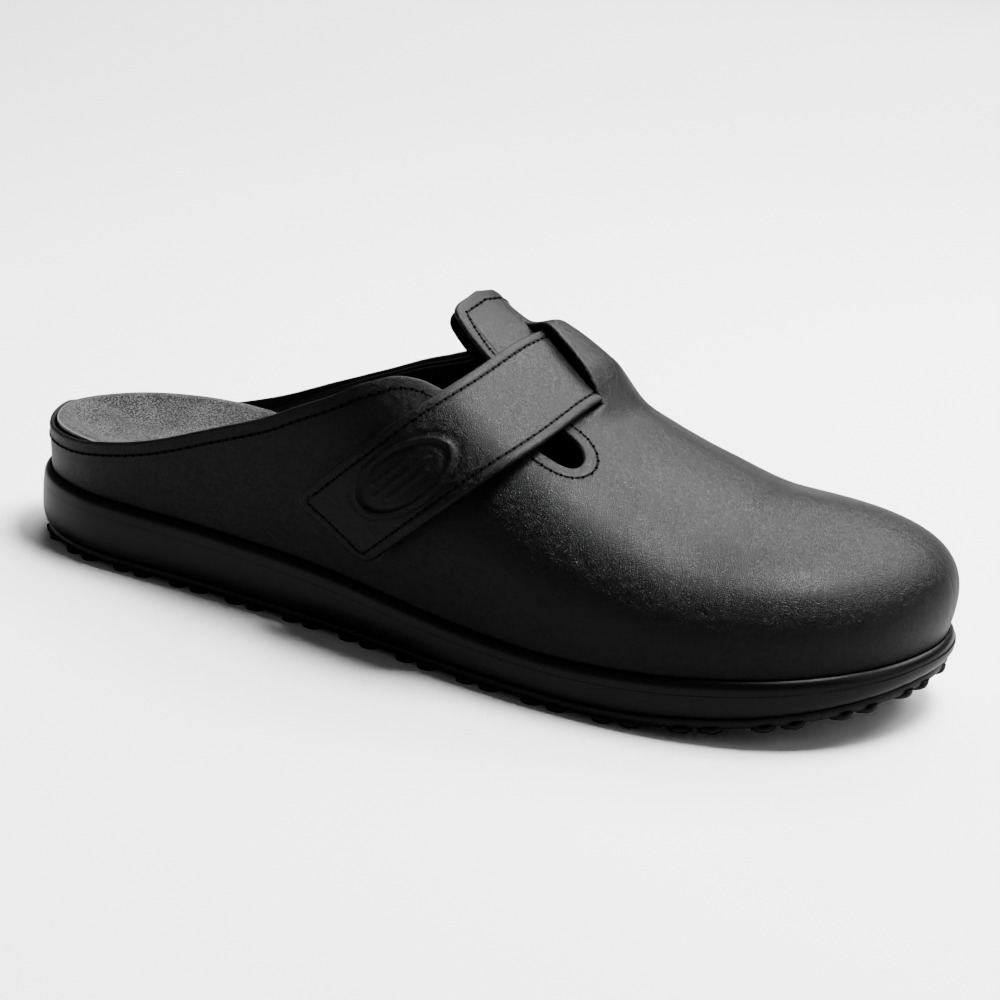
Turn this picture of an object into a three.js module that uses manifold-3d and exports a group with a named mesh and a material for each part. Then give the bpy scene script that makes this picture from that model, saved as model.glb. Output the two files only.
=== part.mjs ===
// Closed-toe leather clog for the right foot, open at the heel, with an instep strap on hook-and-loop tape.
// Working axes: x from the back of the heel (0) to the toe, y from the outer side (-) to the inner side (+),
// z up from the ground. The finished group is shifted so that its origin is the bottom centre of its box.
import * as THREE from 'three';
import { mergeVertices } from 'three/addons/utils/BufferGeometryUtils.js';
import Module from 'manifold-3d';

const wasm = await Module();
wasm.setup();

// ---------- driving dimensions, millimetres ----------
const SHOE_LENGTH = 288;
const SHOE_WIDTH = 105;
const INSTEP_HEIGHT = 92;      // top edge of the tab above the ground
const TOE_SPRING = 11.7;       // lift of the sole's underside at the toe tip
const SPRING_START = 0.7;      // share of the length where the toe spring begins
const FIT_GAP = 0.3;           // clearance left between neighbouring pieces

const TREAD_THICK = 1.5;
const LUG_HEIGHT = 2.5;
const LUG_RADIUS = 5;
const LUG_PITCH = 15;
const BAR_WIDTH = 7;
const BAR_PITCH = 14;
const TREAD_INSET = 2.6;

const CUP_DEPTH = 5.4;         // from the lip down to the cup's floor
const LIP_WALL = 1.7;          // width of the lip's top
const UPPER_INSET = 2.5;       // rim of the sole to the outside of the upper

const LEATHER = 1.7;
const INTERLINING = 0.9;
const LINING = 0.8;
const LASTING_MARGIN = 14;     // leather turned in under the insole board
const BOARD = 1.5;
const COVER = 1.2;             // suede on the footbed
const PUFF_START = 0.78;       // share of the length where the toe puff begins

const STRAP_WIDTH = 25.7;
const STRAP_LEATHER = 1.6;
const STRAP_BACKING = 0.8;
const TAPE = 0.8;
const STRAP_AT = 0.595;        // share of the length where the strap crosses the ridge
const STRAP_DRIFT = 4.6;       // how far the strap swings towards the toe on its way down
const CORNER = 4;              // corner radius of the strap's free end
const BRIDGE_ROOM = 2.4;       // clear height over the strap where it passes under the bridge
const SLOT_RADIUS = 6.7;
const HINGE_BACK = 4;          // from the slit's edge to the line where the strap bends

const STATIONS = 26;
const ROWS = 8;
const FINER = 3;               // finer mesh where the leather rises over the strap

// ---------- small helpers ----------
const clamp = (v, lo = 0, hi = 1) => Math.min(hi, Math.max(lo, v));
const mix = (a, b, k) => a + (b - a) * k;
const smooth = (lo, hi, v) => THREE.MathUtils.smoothstep(v, lo, hi);

// A smooth curve through [x, value] points that never overshoots them.
function profile(points) {
  const xs = points.map((p) => p[0]);
  const vs = points.map((p) => p[1]);
  const steps = xs.slice(1).map((x, i) => (vs[i + 1] - vs[i]) / (x - xs[i]));
  const slopes = vs.map((_, i) => {
    if (i === 0) return steps[0];
    if (i === vs.length - 1) return steps[i - 1];
    const product = steps[i - 1] * steps[i];
    return product <= 0 ? 0 : (2 * product) / (steps[i - 1] + steps[i]);
  });
  return (x) => {
    const at = clamp(x, xs[0], xs[xs.length - 1]);
    let i = 0;
    while (i < xs.length - 2 && at > xs[i + 1]) i += 1;
    const h = xs[i + 1] - xs[i];
    const k = (at - xs[i]) / h;
    const a = (1 + 2 * k) * (1 - k) ** 2;
    const b = k * (1 - k) ** 2;
    const c = k * k * (3 - 2 * k);
    const d = k * k * (k - 1);
    return a * vs[i] + b * h * slopes[i] + c * vs[i + 1] + d * h * slopes[i + 1];
  };
}

// The input where a rising function reaches the wanted value.
function solve(rising, wanted, lo, hi) {
  let low = lo;
  let high = hi;
  for (let i = 0; i < 40; i += 1) {
    const middle = (low + high) / 2;
    if (rising(middle) < wanted) low = middle;
    else high = middle;
  }
  return (low + high) / 2;
}

function closedGeometry(points, faces) {
  const raw = new THREE.BufferGeometry();
  raw.setAttribute('position', new THREE.Float32BufferAttribute(points.flatMap((p) => [p.x, p.y, p.z]), 3));
  raw.setIndex(faces.flat());
  const welded = mergeVertices(raw, 1e-4);
  const index = Array.from(welded.index.array);
  const kept = [];
  for (let i = 0; i < index.length; i += 3) {
    const [a, b, c] = index.slice(i, i + 3);
    if (a !== b && b !== c && c !== a) kept.push(a, b, c);
  }
  welded.setIndex(kept);
  return welded;
}

function toSolid(geometry) {
  return new wasm.Manifold(new wasm.Mesh({
    numProp: 3,
    vertProperties: new Float32Array(geometry.attributes.position.array),
    triVerts: new Uint32Array(geometry.index.array),
  }));
}

function toGeometry(solid) {
  const mesh = solid.getMesh();
  const geometry = new THREE.BufferGeometry();
  geometry.setAttribute('position', new THREE.BufferAttribute(new Float32Array(mesh.vertProperties), 3));
  geometry.setIndex(Array.from(mesh.triVerts));
  return geometry;
}

function bare(geometry) {
  geometry.deleteAttribute('normal');
  geometry.deleteAttribute('uv');
  return mergeVertices(geometry, 1e-4);
}

// ---------- the sole's rim ----------
// Rim outline as shares of length and width, from the heel along the outer side to the toe and back.
const RIM = [
  [0, 0.01], [0.035, -0.212], [0.111, -0.337], [0.278, -0.375], [0.434, -0.418], [0.59, -0.491],
  [0.712, -0.519], [0.816, -0.491], [0.91, -0.385], [0.972, -0.202], [1, 0.058], [0.983, 0.26],
  [0.924, 0.404], [0.833, 0.471], [0.712, 0.481], [0.59, 0.442], [0.434, 0.37], [0.278, 0.341],
  [0.111, 0.332], [0.035, 0.221],
];
const TIP = 10;                // place of the toe tip in that list
const RIM_SAMPLES = 1600;
const OUTER = 0;
const INNER = 1;
const rimCurve = new THREE.CatmullRomCurve3(
  RIM.map(([x, y]) => new THREE.Vector3(x * SHOE_LENGTH, y * SHOE_WIDTH, 0)), true, 'centripetal');

function rimHalf(side) {
  const share = TIP / RIM.length;
  const samples = [];
  for (let i = 0; i <= RIM_SAMPLES; i += 1) {
    const k = share * (i / RIM_SAMPLES);
    samples.push(rimCurve.getPoint(side === OUTER ? k : (1 - k) % 1));
  }
  return samples;
}
const rimHalves = [rimHalf(OUTER), rimHalf(INNER)];
const rimX = (angle) => SHOE_LENGTH * (1 - Math.cos(angle)) / 2;

// A rim point on one side: the angle runs from 0 at the heel to pi at the toe.
function rimPoint(side, angle) {
  if (angle < 0) return rimPoint(1 - side, -angle);
  if (angle > Math.PI) return rimPoint(1 - side, 2 * Math.PI - angle);
  const half = rimHalves[side];
  const x = rimX(angle);
  let low = 0;
  let high = half.length - 1;
  while (high - low > 1) {
    const middle = (low + high) >> 1;
    if (half[middle].x < x) low = middle;
    else high = middle;
  }
  const k = clamp((x - half[low].x) / Math.max(1e-9, half[high].x - half[low].x));
  return new THREE.Vector2(x, mix(half[low].y, half[high].y, k));
}

const NORMAL_STEP = 0.03;
function rimNormal(side, angle) {
  const along = rimPoint(side, angle + NORMAL_STEP).sub(rimPoint(side, angle - NORMAL_STEP)).normalize();
  return side === OUTER ? new THREE.Vector2(along.y, -along.x) : new THREE.Vector2(-along.y, along.x);
}
const insetPoint = (side, angle, inset) => rimPoint(side, angle).addScaledVector(rimNormal(side, angle), -inset);

// The loop of stations round the rim: out along the outer side, back along the inner side.
function loopOf(stations) {
  const loop = [];
  for (let i = 0; i <= stations; i += 1) loop.push([OUTER, (Math.PI * i) / stations]);
  for (let i = stations - 1; i > 0; i -= 1) loop.push([INNER, (Math.PI * i) / stations]);
  return loop;
}
const LOOP = loopOf(STATIONS);
const FINE_LOOP = loopOf(STATIONS * FINER);

// A level ring at an inset from the rim, with its height a function of x.
function ring(inset, height, loop = LOOP) {
  return loop.map(([side, angle]) => {
    const p = insetPoint(side, angle, inset);
    return new THREE.Vector3(p.x, p.y, height(p.x, p.y));
  });
}

// A closed body through a stack of rings. Each cap may be a grid whose height follows a function.
function loft(rings, cross = 1, lowHeight = null, highHeight = null) {
  const points = rings.flat();
  const count = rings[0].length;
  const stations = count / 2;
  const faces = [];
  for (let k = 0; k + 1 < rings.length; k += 1) {
    for (let j = 0; j < count; j += 1) {
      const a = k * count + j;
      const b = k * count + ((j + 1) % count);
      faces.push([a, b, b + count], [a, b + count, a + count]);
    }
  }
  const cap = (loop, height, up) => {
    const rowOf = (i) => {
      const outer = loop[i];
      const inner = loop[(count - i) % count];
      const row = [];
      for (let j = 0; j <= cross; j += 1) {
        const p = outer.clone().lerp(inner, j / cross);
        if (height && j > 0 && j < cross && i > 0 && i < stations) p.z = height(p.x, p.y);
        row.push(points.push(p) - 1);
      }
      return row;
    };
    let before = rowOf(0);
    for (let i = 1; i <= stations; i += 1) {
      const row = rowOf(i);
      for (let j = 0; j < cross; j += 1) {
        const quad = [[before[j], row[j], row[j + 1]], [before[j], row[j + 1], before[j + 1]]];
        faces.push(...quad.map((f) => (up ? f : f.reverse())));
      }
      before = row;
    }
  };
  cap(rings[0], lowHeight, false);
  cap(rings[rings.length - 1], highHeight, true);
  return closedGeometry(points, faces);
}

// ---------- heights along the shoe ----------
const along = (points) => {
  const curve = profile(points);
  return (x) => curve(x / SHOE_LENGTH);
};
const lip = along([[0, 21.9], [0.35, 20.2], [0.68, 15], [1, 22.1]]);
const spring = (x) => TOE_SPRING * clamp((x / SHOE_LENGTH - SPRING_START) / (1 - SPRING_START)) ** 2;
const raised = (base, by) => (x) => base(x) + by;
const cupBottom = raised(spring, LUG_HEIGHT + TREAD_THICK + FIT_GAP);
const cupFloor = raised(lip, -CUP_DEPTH);
const marginLow = raised(cupFloor, FIT_GAP);
const boardLow = raised(marginLow, LEATHER + FIT_GAP);
const bedLow = raised(boardLow, BOARD + FIT_GAP);

// ---------- the last: outer form of the upper ----------
const SPINE_HEEL = 45;         // where the ridge starts, from the back of the heel
const SPINE_TOE = 56;          // where it ends, from the tip of the toe
const SPINE_Y = 6.9;
const FULLNESS = 2.57;         // power of the superellipse across the foot
const BULGE = 5.5;             // how far the sides swell past the rim line
const WALL_BASE = 3;           // the form starts this far below the lip
const RIDGE = [
  [0, 1.36], [0.208, 1.327], [0.347, 1.25], [0.451, 1.107], [0.503, 0.978], [0.556, 0.889], [0.608, 0.798],
  [0.642, 0.744], [0.729, 0.637], [0.816, 0.574], [0.91, 0.588], [1, 0.607],
];
const ridgeShape = along(RIDGE);
const ridge = (x) => INSTEP_HEIGHT * ridgeShape(x);
const ridgeSlope = (x) => ridge(x + 0.5) - ridge(x - 0.5);
const strapX = STRAP_AT * SHOE_LENGTH;
const widthScale = SHOE_WIDTH / 105;
const heightScale = INSTEP_HEIGHT / 92;

// A fan of superellipse arcs from the rim up to the ridge: share 0 is the rim, 1 the ridge.
function lastPoint(side, angle, share, depth, lift = null) {
  const foot = insetPoint(side, angle, UPPER_INSET + depth);
  const outward = rimNormal(side, angle);
  const spineX = mix(SPINE_HEEL, SHOE_LENGTH - SPINE_TOE, rimX(angle) / SHOE_LENGTH);
  const turn = (share * Math.PI) / 2;
  const near = share >= 1 ? 0 : Math.cos(turn) ** (2 / FULLNESS);
  const rise = Math.sin(turn) ** (2 / FULLNESS);
  const swell = share >= 0.8 ? 0 : BULGE * Math.sin((Math.PI * share) / 0.8);
  const x = spineX + (foot.x - spineX) * near + outward.x * swell;
  const y = SPINE_Y + (foot.y - SPINE_Y) * near + outward.y * swell;
  const base = lip(x) - WALL_BASE;
  const top = ridge(x) - depth * Math.hypot(1, ridgeSlope(x));
  const z = base + (top - base) * rise;
  const skin = base + (ridge(x) - base) * rise;
  return new THREE.Vector3(x, y, z + (lift ? lift(x, y, skin) : 0));
}

function lastSolid(depth, low, lift = null) {
  const loop = lift ? FINE_LOOP : LOOP;
  const rows = lift ? ROWS * FINER : ROWS;
  const rings = [ring(UPPER_INSET + depth, low, loop)];
  for (let k = 0; k <= rows; k += 1) {
    rings.push(loop.map(([side, angle]) => lastPoint(side, angle, k / rows, depth, lift)));
  }
  return toSolid(loft(rings));
}

// ---------- openings of the upper ----------
// Plan points are measured from where the strap crosses the ridge.
const plan = ([x, y]) => [strapX + x, y * widthScale];
const shapeOf = (points) => new THREE.Shape(points.map(([x, y]) => new THREE.Vector2(x, y)));

function planPrism(points, low = 30, high = 200) {
  const geometry = new THREE.ExtrudeGeometry(shapeOf(points), { depth: high - low, bevelEnabled: false });
  geometry.translate(0, 0, low);
  return toSolid(bare(geometry));
}

function sidePrism(points, yLow, yHigh) {
  const geometry = new THREE.ExtrudeGeometry(shapeOf(points), { depth: yHigh - yLow, bevelEnabled: false });
  geometry.rotateX(Math.PI / 2);
  geometry.translate(0, yHigh, 0);
  return toSolid(bare(geometry));
}

const TAB_X = -30.3;           // tab's top edge, from the strap's crossing
const TOPLINE_SPAN = 141;
const topScale = (strapX + TAB_X) / TOPLINE_SPAN;
const TOP_BACK = [[-20, 35.8], [0, 35.8], [15, 34.8], [35, 36.6], [60, 42.2], [80, 49.4], [100, 57.3], [110, 61.8]];
const TOP_OUTER = [[121, 67.6], [130.3, 72.5], [135, 74.8], [138.5, 76.1], [141.9, 76.4], [146.4, 76.1], [150.3, 74.8]];
const TOP_INNER = [[122, 68], [130, 75], [136, 83], [139.5, 90], [141, 97]];
const SKY = 220;
const topEdge = (points) => points.map(([x, z]) => [x * topScale, z * heightScale]);
const TAB_EDGE = [[-13.4, -15.2], [-26.3, -8.3], [-29.1, -5.6], [TAB_X, -2]];
const SLOT_CENTRE = [13.5, -26.2];
const SLOT_EDGE = [[TAB_X, -35], [-24.9, -33.8], [-16.6, -33.2], [8, -32.7]];
const SLOT_ARC = [-90, 80];

function slotArc(radius) {
  const arc = [];
  for (let k = 0; k <= 8; k += 1) {
    const turn = THREE.MathUtils.degToRad(mix(SLOT_ARC[0], SLOT_ARC[1], k / 8));
    arc.push([SLOT_CENTRE[0] + radius * Math.cos(turn), SLOT_CENTRE[1] + radius * Math.sin(turn)]);
  }
  return arc;
}

function footOpening() {
  const back = topEdge(TOP_BACK);
  const slotStart = strapX + SLOT_EDGE[2][0];
  const outer = [...back, ...topEdge(TOP_OUTER), [slotStart, 73.6 * heightScale], [slotStart, SKY], [-20, SKY]];
  const inner = [...back, ...topEdge(TOP_INNER), [strapX + TAB_X, SKY], [-20, SKY]];
  const tab = planPrism([...TAB_EDGE, [TAB_X, 1], [40, 1], [40, -19.6]].map(plan).reverse());
  const slot = planPrism([...SLOT_EDGE, ...slotArc(SLOT_RADIUS), ...TAB_EDGE].map(plan));
  return sidePrism(outer, -100, 0).subtract(tab).add(slot).add(sidePrism(inner, -0.01, 100));
}

// The slit that the strap comes out of, and the leather that rises over the strap behind it.
const SLIT_POINT = [2.2, 4.5];
const SLIT_TURN = THREE.MathUtils.degToRad(-23.7);
const slitAt = new THREE.Vector2(...plan(SLIT_POINT));
const slitAlong = new THREE.Vector2(Math.cos(SLIT_TURN), Math.sin(SLIT_TURN));
const slitInward = new THREE.Vector2(-slitAlong.y, slitAlong.x);
const fade = (away, flat, end) => Math.cos((Math.PI / 2) * clamp((away - flat) / (end - flat))) ** 2;
const BRIDGE_SINK = 0.3;
const BRIDGE_FLAT = 22;
const BRIDGE_END = 50;
const BRIDGE_MARGIN = 0.6;
const BRIDGE_RAMP = 7;

// The strap lies between two parallel planes that lean with the instep, and follows the upper between them.
const LEAN_X = 0.65;
const LEAN_Z = 0.76;
const strapPlane = LEAN_X * strapX - LEAN_Z * ridge(strapX);

const STRAP_STACK = FIT_GAP + STRAP_BACKING + FIT_GAP + STRAP_LEATHER;
const bridgeRise = (STRAP_STACK + LEATHER + BRIDGE_ROOM) * Math.hypot(1, ridgeSlope(strapX));

// Rise of the bridge: flat over the strap's band, with a ramp beyond each edge and down the inner side.
function bridgeLift(x, y, z) {
  const across = Math.abs(LEAN_X * x - LEAN_Z * z - strapPlane);
  const band = fade(across, STRAP_WIDTH / 2 + BRIDGE_MARGIN, STRAP_WIDTH / 2 + BRIDGE_MARGIN + BRIDGE_RAMP);
  return bridgeRise * band * fade(y - slitAt.y, BRIDGE_FLAT, BRIDGE_END) - BRIDGE_SINK;
}

function behindSlit(shift) {
  const from = slitAt.clone().addScaledVector(slitInward, shift).addScaledVector(slitAlong, -30);
  const to = from.clone().addScaledVector(slitAlong, 60);
  return planPrism([[from.x, from.y], [to.x, to.y], [to.x + 20, 60], [from.x - 20, 60]], 40, SKY);
}

// ---------- strap ----------

// Point of the strap's path on the upper: way 0 is the outer rim, 1 the ridge, 2 the inner rim.
function strapPoint(way, cross) {
  const plane = strapPlane + STRAP_DRIFT * (1 - smooth(0.45, 1, way)) + (cross - 0.5) * STRAP_WIDTH;
  const side = way <= 1 ? OUTER : INNER;
  const share = way <= 1 ? way : 2 - way;
  const height = (angle) => {
    const p = lastPoint(side, angle, share, 0);
    return LEAN_X * p.x - LEAN_Z * p.z;
  };
  return lastPoint(side, solve(height, plane, 0.25 * Math.PI, 0.9 * Math.PI), share, 0);
}

// The way at which the strap passes a line parallel to the slit, measured inward from the slit.
function wayAt(cross, inward) {
  const distance = (way) => {
    const p = strapPoint(way, cross);
    return slitInward.x * (p.x - slitAt.x) + slitInward.y * (p.y - slitAt.y);
  };
  return solve(distance, inward, 0.6, 1.6);
}

// A row of evenly spaced points along the strap, after a trim in millimetres at its start.
const ROW_SAMPLES = 48;
function strapRow(cross, from, to, steps, trim = 0) {
  const path = [];
  for (let i = 0; i <= ROW_SAMPLES; i += 1) {
    const way = mix(from, to, i / ROW_SAMPLES);
    path.push({ way, at: strapPoint(way, cross) });
  }
  const lengths = [0];
  for (let i = 1; i < path.length; i += 1) {
    lengths.push(lengths[i - 1] + path[i].at.distanceTo(path[i - 1].at));
  }
  const total = lengths[lengths.length - 1];
  const row = [];
  for (let k = 0; k <= steps; k += 1) {
    const want = mix(trim, total, k / steps);
    let i = 1;
    while (i < lengths.length - 1 && lengths[i] < want) i += 1;
    const part = clamp((want - lengths[i - 1]) / (lengths[i] - lengths[i - 1]));
    row.push({
      way: mix(path[i - 1].way, path[i].way, part),
      at: path[i - 1].at.clone().lerp(path[i].at, part),
    });
  }
  return row;
}

// A slab between two offsets from a grid of surface points; offsets may change with the way.
function slab(rows, low, high) {
  const normal = (r, c) => {
    const a = rows[Math.min(r + 1, rows.length - 1)][c].at;
    const b = rows[Math.max(r - 1, 0)][c].at;
    const d = rows[r][Math.min(c + 1, rows[r].length - 1)].at;
    const e = rows[r][Math.max(c - 1, 0)].at;
    return d.clone().sub(e).cross(a.clone().sub(b)).normalize();
  };
  const width = rows[0].length;
  const points = [];
  for (const offset of [low, high]) {
    rows.forEach((row, r) => row.forEach((cell, c) => {
      points.push(cell.at.clone().addScaledVector(normal(r, c), offset(cell.way)));
    }));
  }
  const layer = rows.length * width;
  const at = (r, c, k) => k * layer + r * width + c;
  const faces = [];
  const quad = (a, b, c, d) => faces.push([a, c, b], [a, d, c]);
  for (let r = 0; r + 1 < rows.length; r += 1) {
    for (let c = 0; c + 1 < width; c += 1) {
      quad(at(r, c, 1), at(r + 1, c, 1), at(r + 1, c + 1, 1), at(r, c + 1, 1));
      quad(at(r, c, 0), at(r, c + 1, 0), at(r + 1, c + 1, 0), at(r + 1, c, 0));
    }
    quad(at(r, 0, 0), at(r + 1, 0, 0), at(r + 1, 0, 1), at(r, 0, 1));
    quad(at(r, width - 1, 1), at(r + 1, width - 1, 1), at(r + 1, width - 1, 0), at(r, width - 1, 0));
  }
  const last = rows.length - 1;
  for (let c = 0; c + 1 < width; c += 1) {
    quad(at(0, c, 1), at(0, c + 1, 1), at(0, c + 1, 0), at(0, c, 0));
    quad(at(last, c, 0), at(last, c + 1, 0), at(last, c + 1, 1), at(last, c, 1));
  }
  return closedGeometry(points, faces);
}

const FREE_END = [0.107, 0.06];        // way of the free end at the heel edge and at the toe edge
const TIP_STEPS = 18;
const BASE_STEPS = 8;
const ANCHOR_WAY = [1.14, 1.24, 1.25]; // the patch's start and end, and the strap's sewn end
const lifted = (base) => (way) => base + (2 * TAPE + 2 * FIT_GAP) * (1 - smooth(0.45, 0.75, way));
const sunk = (base) => (way) => base - (LEATHER - FIT_GAP) * smooth(0.98, 1.12, way);
const level = (value) => () => value;

function cornerTrim(cross) {
  const inset = Math.min(cross, 1 - cross) * STRAP_WIDTH;
  const short = Math.max(0, CORNER - inset);
  return CORNER - Math.sqrt(CORNER * CORNER - short * short);
}
const transpose = (columns) => columns[0].map((_, r) => columns.map((column) => column[r]));
const CROSS = [0, 0.02, 0.06, 0.16, 0.5, 0.84, 0.94, 0.98, 1];
const TAPE_CROSS = [0.14, 0.5, 0.86];

const tipRows = transpose(CROSS.map((cross) => strapRow(
  cross, mix(FREE_END[0], FREE_END[1], cross), wayAt(cross, -HINGE_BACK - FIT_GAP / 2), TIP_STEPS, cornerTrim(cross))));
const baseRows = transpose([0, 0.25, 0.5, 0.75, 1].map((cross) => strapRow(
  cross, wayAt(cross, -HINGE_BACK + FIT_GAP / 2), ANCHOR_WAY[2], BASE_STEPS)));
const anchorRows = transpose([0.08, 0.5, 0.92].map((cross) => strapRow(
  cross, ANCHOR_WAY[0], ANCHOR_WAY[1], 3)));
const tapeRows = (start, end) => transpose(TAPE_CROSS.map((cross) => strapRow(
  cross, mix(FREE_END[0], FREE_END[1], cross) + start, end, 8)));

const backingLow = FIT_GAP;
const backingHigh = backingLow + STRAP_BACKING;
const leatherLow = backingHigh + FIT_GAP;
const leatherHigh = leatherLow + STRAP_LEATHER;

// ---------- footbed ----------
const bedMiddle = along([[0, 30], [0.12, 29.3], [0.4, 26.8], [0.68, 21], [1, 25.6]]);
const bedRim = along([[0, 6.3], [0.2, 7.4], [0.3, 6.4], [0.45, 2.6], [0.62, 0.9], [1, 0.6]]);
const BED_INSET = UPPER_INSET + LEATHER + INTERLINING + LINING + 3 * FIT_GAP;
const CUP_ROLL = 24;                   // width of the rising edge of the footbed
const BED_CROSS = 8;

// Height of the footbed's top: a middle line, with an edge that curls up over its last stretch.
function bedTop(x, y) {
  const angle = Math.acos(clamp(1 - (2 * x) / SHOE_LENGTH, -1, 1));
  const aside = Math.min(y - insetPoint(OUTER, angle, BED_INSET).y, insetPoint(INNER, angle, BED_INSET).y - y);
  const away = clamp(Math.min(aside, x - BED_INSET, SHOE_LENGTH - BED_INSET - x) / CUP_ROLL);
  return bedMiddle(x) + bedRim(x) * (1 - away) ** 2;
}
const bedUnder = (x, y) => bedTop(x, y) - COVER;
const coreTop = (x, y) => bedUnder(x, y) - FIT_GAP;

// ---------- tread ----------
function lug(x, y, shape) {
  const geometry = new THREE.ExtrudeGeometry(shape, { depth: LUG_HEIGHT + 0.5, bevelEnabled: false });
  geometry.translate(x, y, 0);
  const at = geometry.attributes.position;
  for (let i = 0; i < at.count; i += 1) at.setZ(i, at.getZ(i) + spring(at.getX(i)));
  return toSolid(bare(geometry));
}

function roundShape(radius, sides) {
  const points = [];
  for (let k = 0; k < sides; k += 1) {
    points.push([radius * Math.cos((2 * Math.PI * k) / sides), radius * Math.sin((2 * Math.PI * k) / sides)]);
  }
  return shapeOf(points);
}

function barShape(length) {
  const w = BAR_WIDTH / 2;
  const h = length / 2;
  return shapeOf([[-w, -h], [w, -h], [w, h], [-w, h]]);
}

function tread() {
  const low = raised(spring, LUG_HEIGHT);
  const lugs = [];
  const edge = rimCurve.getSpacedPoints(Math.round(rimCurve.getLength() / LUG_PITCH)).slice(1);
  for (const p of edge) {
    const side = p.y < rimPoint(OUTER, 0).y ? OUTER : INNER;
    const angle = Math.acos(clamp(1 - (2 * p.x) / SHOE_LENGTH, -1, 1));
    const at = insetPoint(side, angle, TREAD_INSET + LUG_RADIUS);
    lugs.push(lug(at.x, at.y, roundShape(LUG_RADIUS, 8)));
  }
  const margin = TREAD_INSET + 2 * LUG_RADIUS + 3;
  for (let x = 2 * margin; x < SHOE_LENGTH - 2 * margin; x += BAR_PITCH) {
    const angle = Math.acos(1 - (2 * x) / SHOE_LENGTH);
    const lowY = insetPoint(OUTER, angle, margin).y;
    const highY = insetPoint(INNER, angle, margin).y;
    lugs.push(lug(x, (lowY + highY) / 2, barShape(highY - lowY)));
  }
  const plate = toSolid(loft([ring(TREAD_INSET, low), ring(TREAD_INSET, raised(low, TREAD_THICK))]));
  return toGeometry(wasm.Manifold.union([plate, ...lugs]));
}

function cupSole() {
  const between = (share, drop = 0) => (x) => mix(cupBottom(x), lip(x), share) + drop;
  return loft([
    ring(1.4, cupBottom), ring(0.4, between(0.06)), ring(-0.4, between(0.25)), ring(-0.2, between(0.5)),
    ring(0, between(0.8)), ring(0.2, between(1, -0.5)), ring(0.8, lip), ring(LIP_WALL, raised(lip, -0.1)),
    ring(LIP_WALL, cupFloor),
  ]);
}

// ---------- pieces of the upper ----------
const opening = footOpening();
const stackDepths = [0, LEATHER, LEATHER + FIT_GAP, LEATHER + FIT_GAP + INTERLINING,
  LEATHER + 2 * FIT_GAP + INTERLINING, LEATHER + 2 * FIT_GAP + INTERLINING + LINING];

function upperLeather() {
  const outside = lastSolid(stackDepths[0], marginLow)
    .add(lastSolid(stackDepths[0], marginLow, bridgeLift).intersect(behindSlit(0)));
  const inside = lastSolid(stackDepths[1], raised(marginLow, LEATHER))
    .add(lastSolid(stackDepths[1], raised(marginLow, LEATHER), bridgeLift).intersect(behindSlit(-FIT_GAP)));
  const inset = UPPER_INSET + LASTING_MARGIN;
  const window = toSolid(loft([ring(inset, level(-20)), ring(inset, raised(lip, 2))]));
  return toGeometry(outside.subtract(inside).subtract(window).subtract(opening));
}

function upperLayer(outer, inner) {
  const shell = lastSolid(stackDepths[outer], boardLow).subtract(lastSolid(stackDepths[inner], raised(boardLow, -2)));
  return shell.subtract(opening);
}

function halfSpace(from, to) {
  const geometry = new THREE.BoxGeometry(to - from, 300, 400);
  geometry.translate((from + to) / 2, 0, 100);
  return toSolid(bare(geometry));
}

// ---------- materials and assembly ----------
const paint = (color, roughness) => new THREE.MeshStandardMaterial({ color, roughness, metalness: 0 });
const clog = new THREE.Group();

function piece(name, geometry, material) {
  geometry.computeVertexNormals();
  const mesh = new THREE.Mesh(geometry, material);
  mesh.name = name;
  clog.add(mesh);
}

const interlining = upperLayer(2, 3);
const puffX = PUFF_START * SHOE_LENGTH;
const layered = (rows, low, high, shape) => slab(rows, shape(low), shape(high));

piece('tread_outsole', tread(), paint(0x161617, 0.7));
piece('cup_sole', cupSole(), paint(0x1a1a1b, 0.42));
piece('insole_board', loft([ring(BED_INSET, boardLow), ring(BED_INSET, raised(boardLow, BOARD))]), paint(0x8a7a5f, 0.9));
piece('footbed_core', loft([ring(BED_INSET, bedLow), ring(BED_INSET, coreTop)], BED_CROSS, null, coreTop), paint(0x9a7b52, 0.95));
piece('footbed_cover', loft([ring(BED_INSET, bedUnder), ring(BED_INSET, bedTop)], BED_CROSS, bedUnder, bedTop), paint(0x77746f, 0.95));
piece('upper_leather', upperLeather(), paint(0x1b1b1c, 0.45));
piece('upper_interlining', toGeometry(interlining.intersect(halfSpace(-50, puffX - FIT_GAP))), paint(0x3a3a3a, 0.95));
piece('toe_puff', toGeometry(interlining.intersect(halfSpace(puffX, 400))), paint(0xb9b2a2, 0.8));
piece('upper_lining', toGeometry(upperLayer(4, 5)), paint(0x202021, 0.8));
piece('loop_tape', layered(tapeRows(0.03, 0.45), backingLow, backingLow + TAPE, level), paint(0x141414, 1));
piece('hook_tape', layered(tapeRows(0.03, 0.34), leatherLow, leatherLow + TAPE, level), paint(0x101010, 0.9));
piece('strap_tip_backing', layered(tipRows, backingLow, backingHigh, lifted), paint(0x242425, 0.8));
piece('strap_tip_leather', layered(tipRows, leatherLow, leatherHigh, lifted), paint(0x1b1b1c, 0.45));
piece('strap_base_backing', layered(baseRows, backingLow, backingHigh, sunk), paint(0x242425, 0.8));
piece('strap_base_leather', layered(baseRows, leatherLow, leatherHigh, sunk), paint(0x1b1b1c, 0.45));
piece('strap_anchor_patch', layered(anchorRows, leatherHigh + FIT_GAP, leatherHigh + FIT_GAP + TAPE, sunk), paint(0x2a2a2b, 0.9));

const box = new THREE.Box3().setFromObject(clog);
const centre = box.getCenter(new THREE.Vector3());
clog.position.set(-centre.x, -centre.y, -box.min.z);

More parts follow.
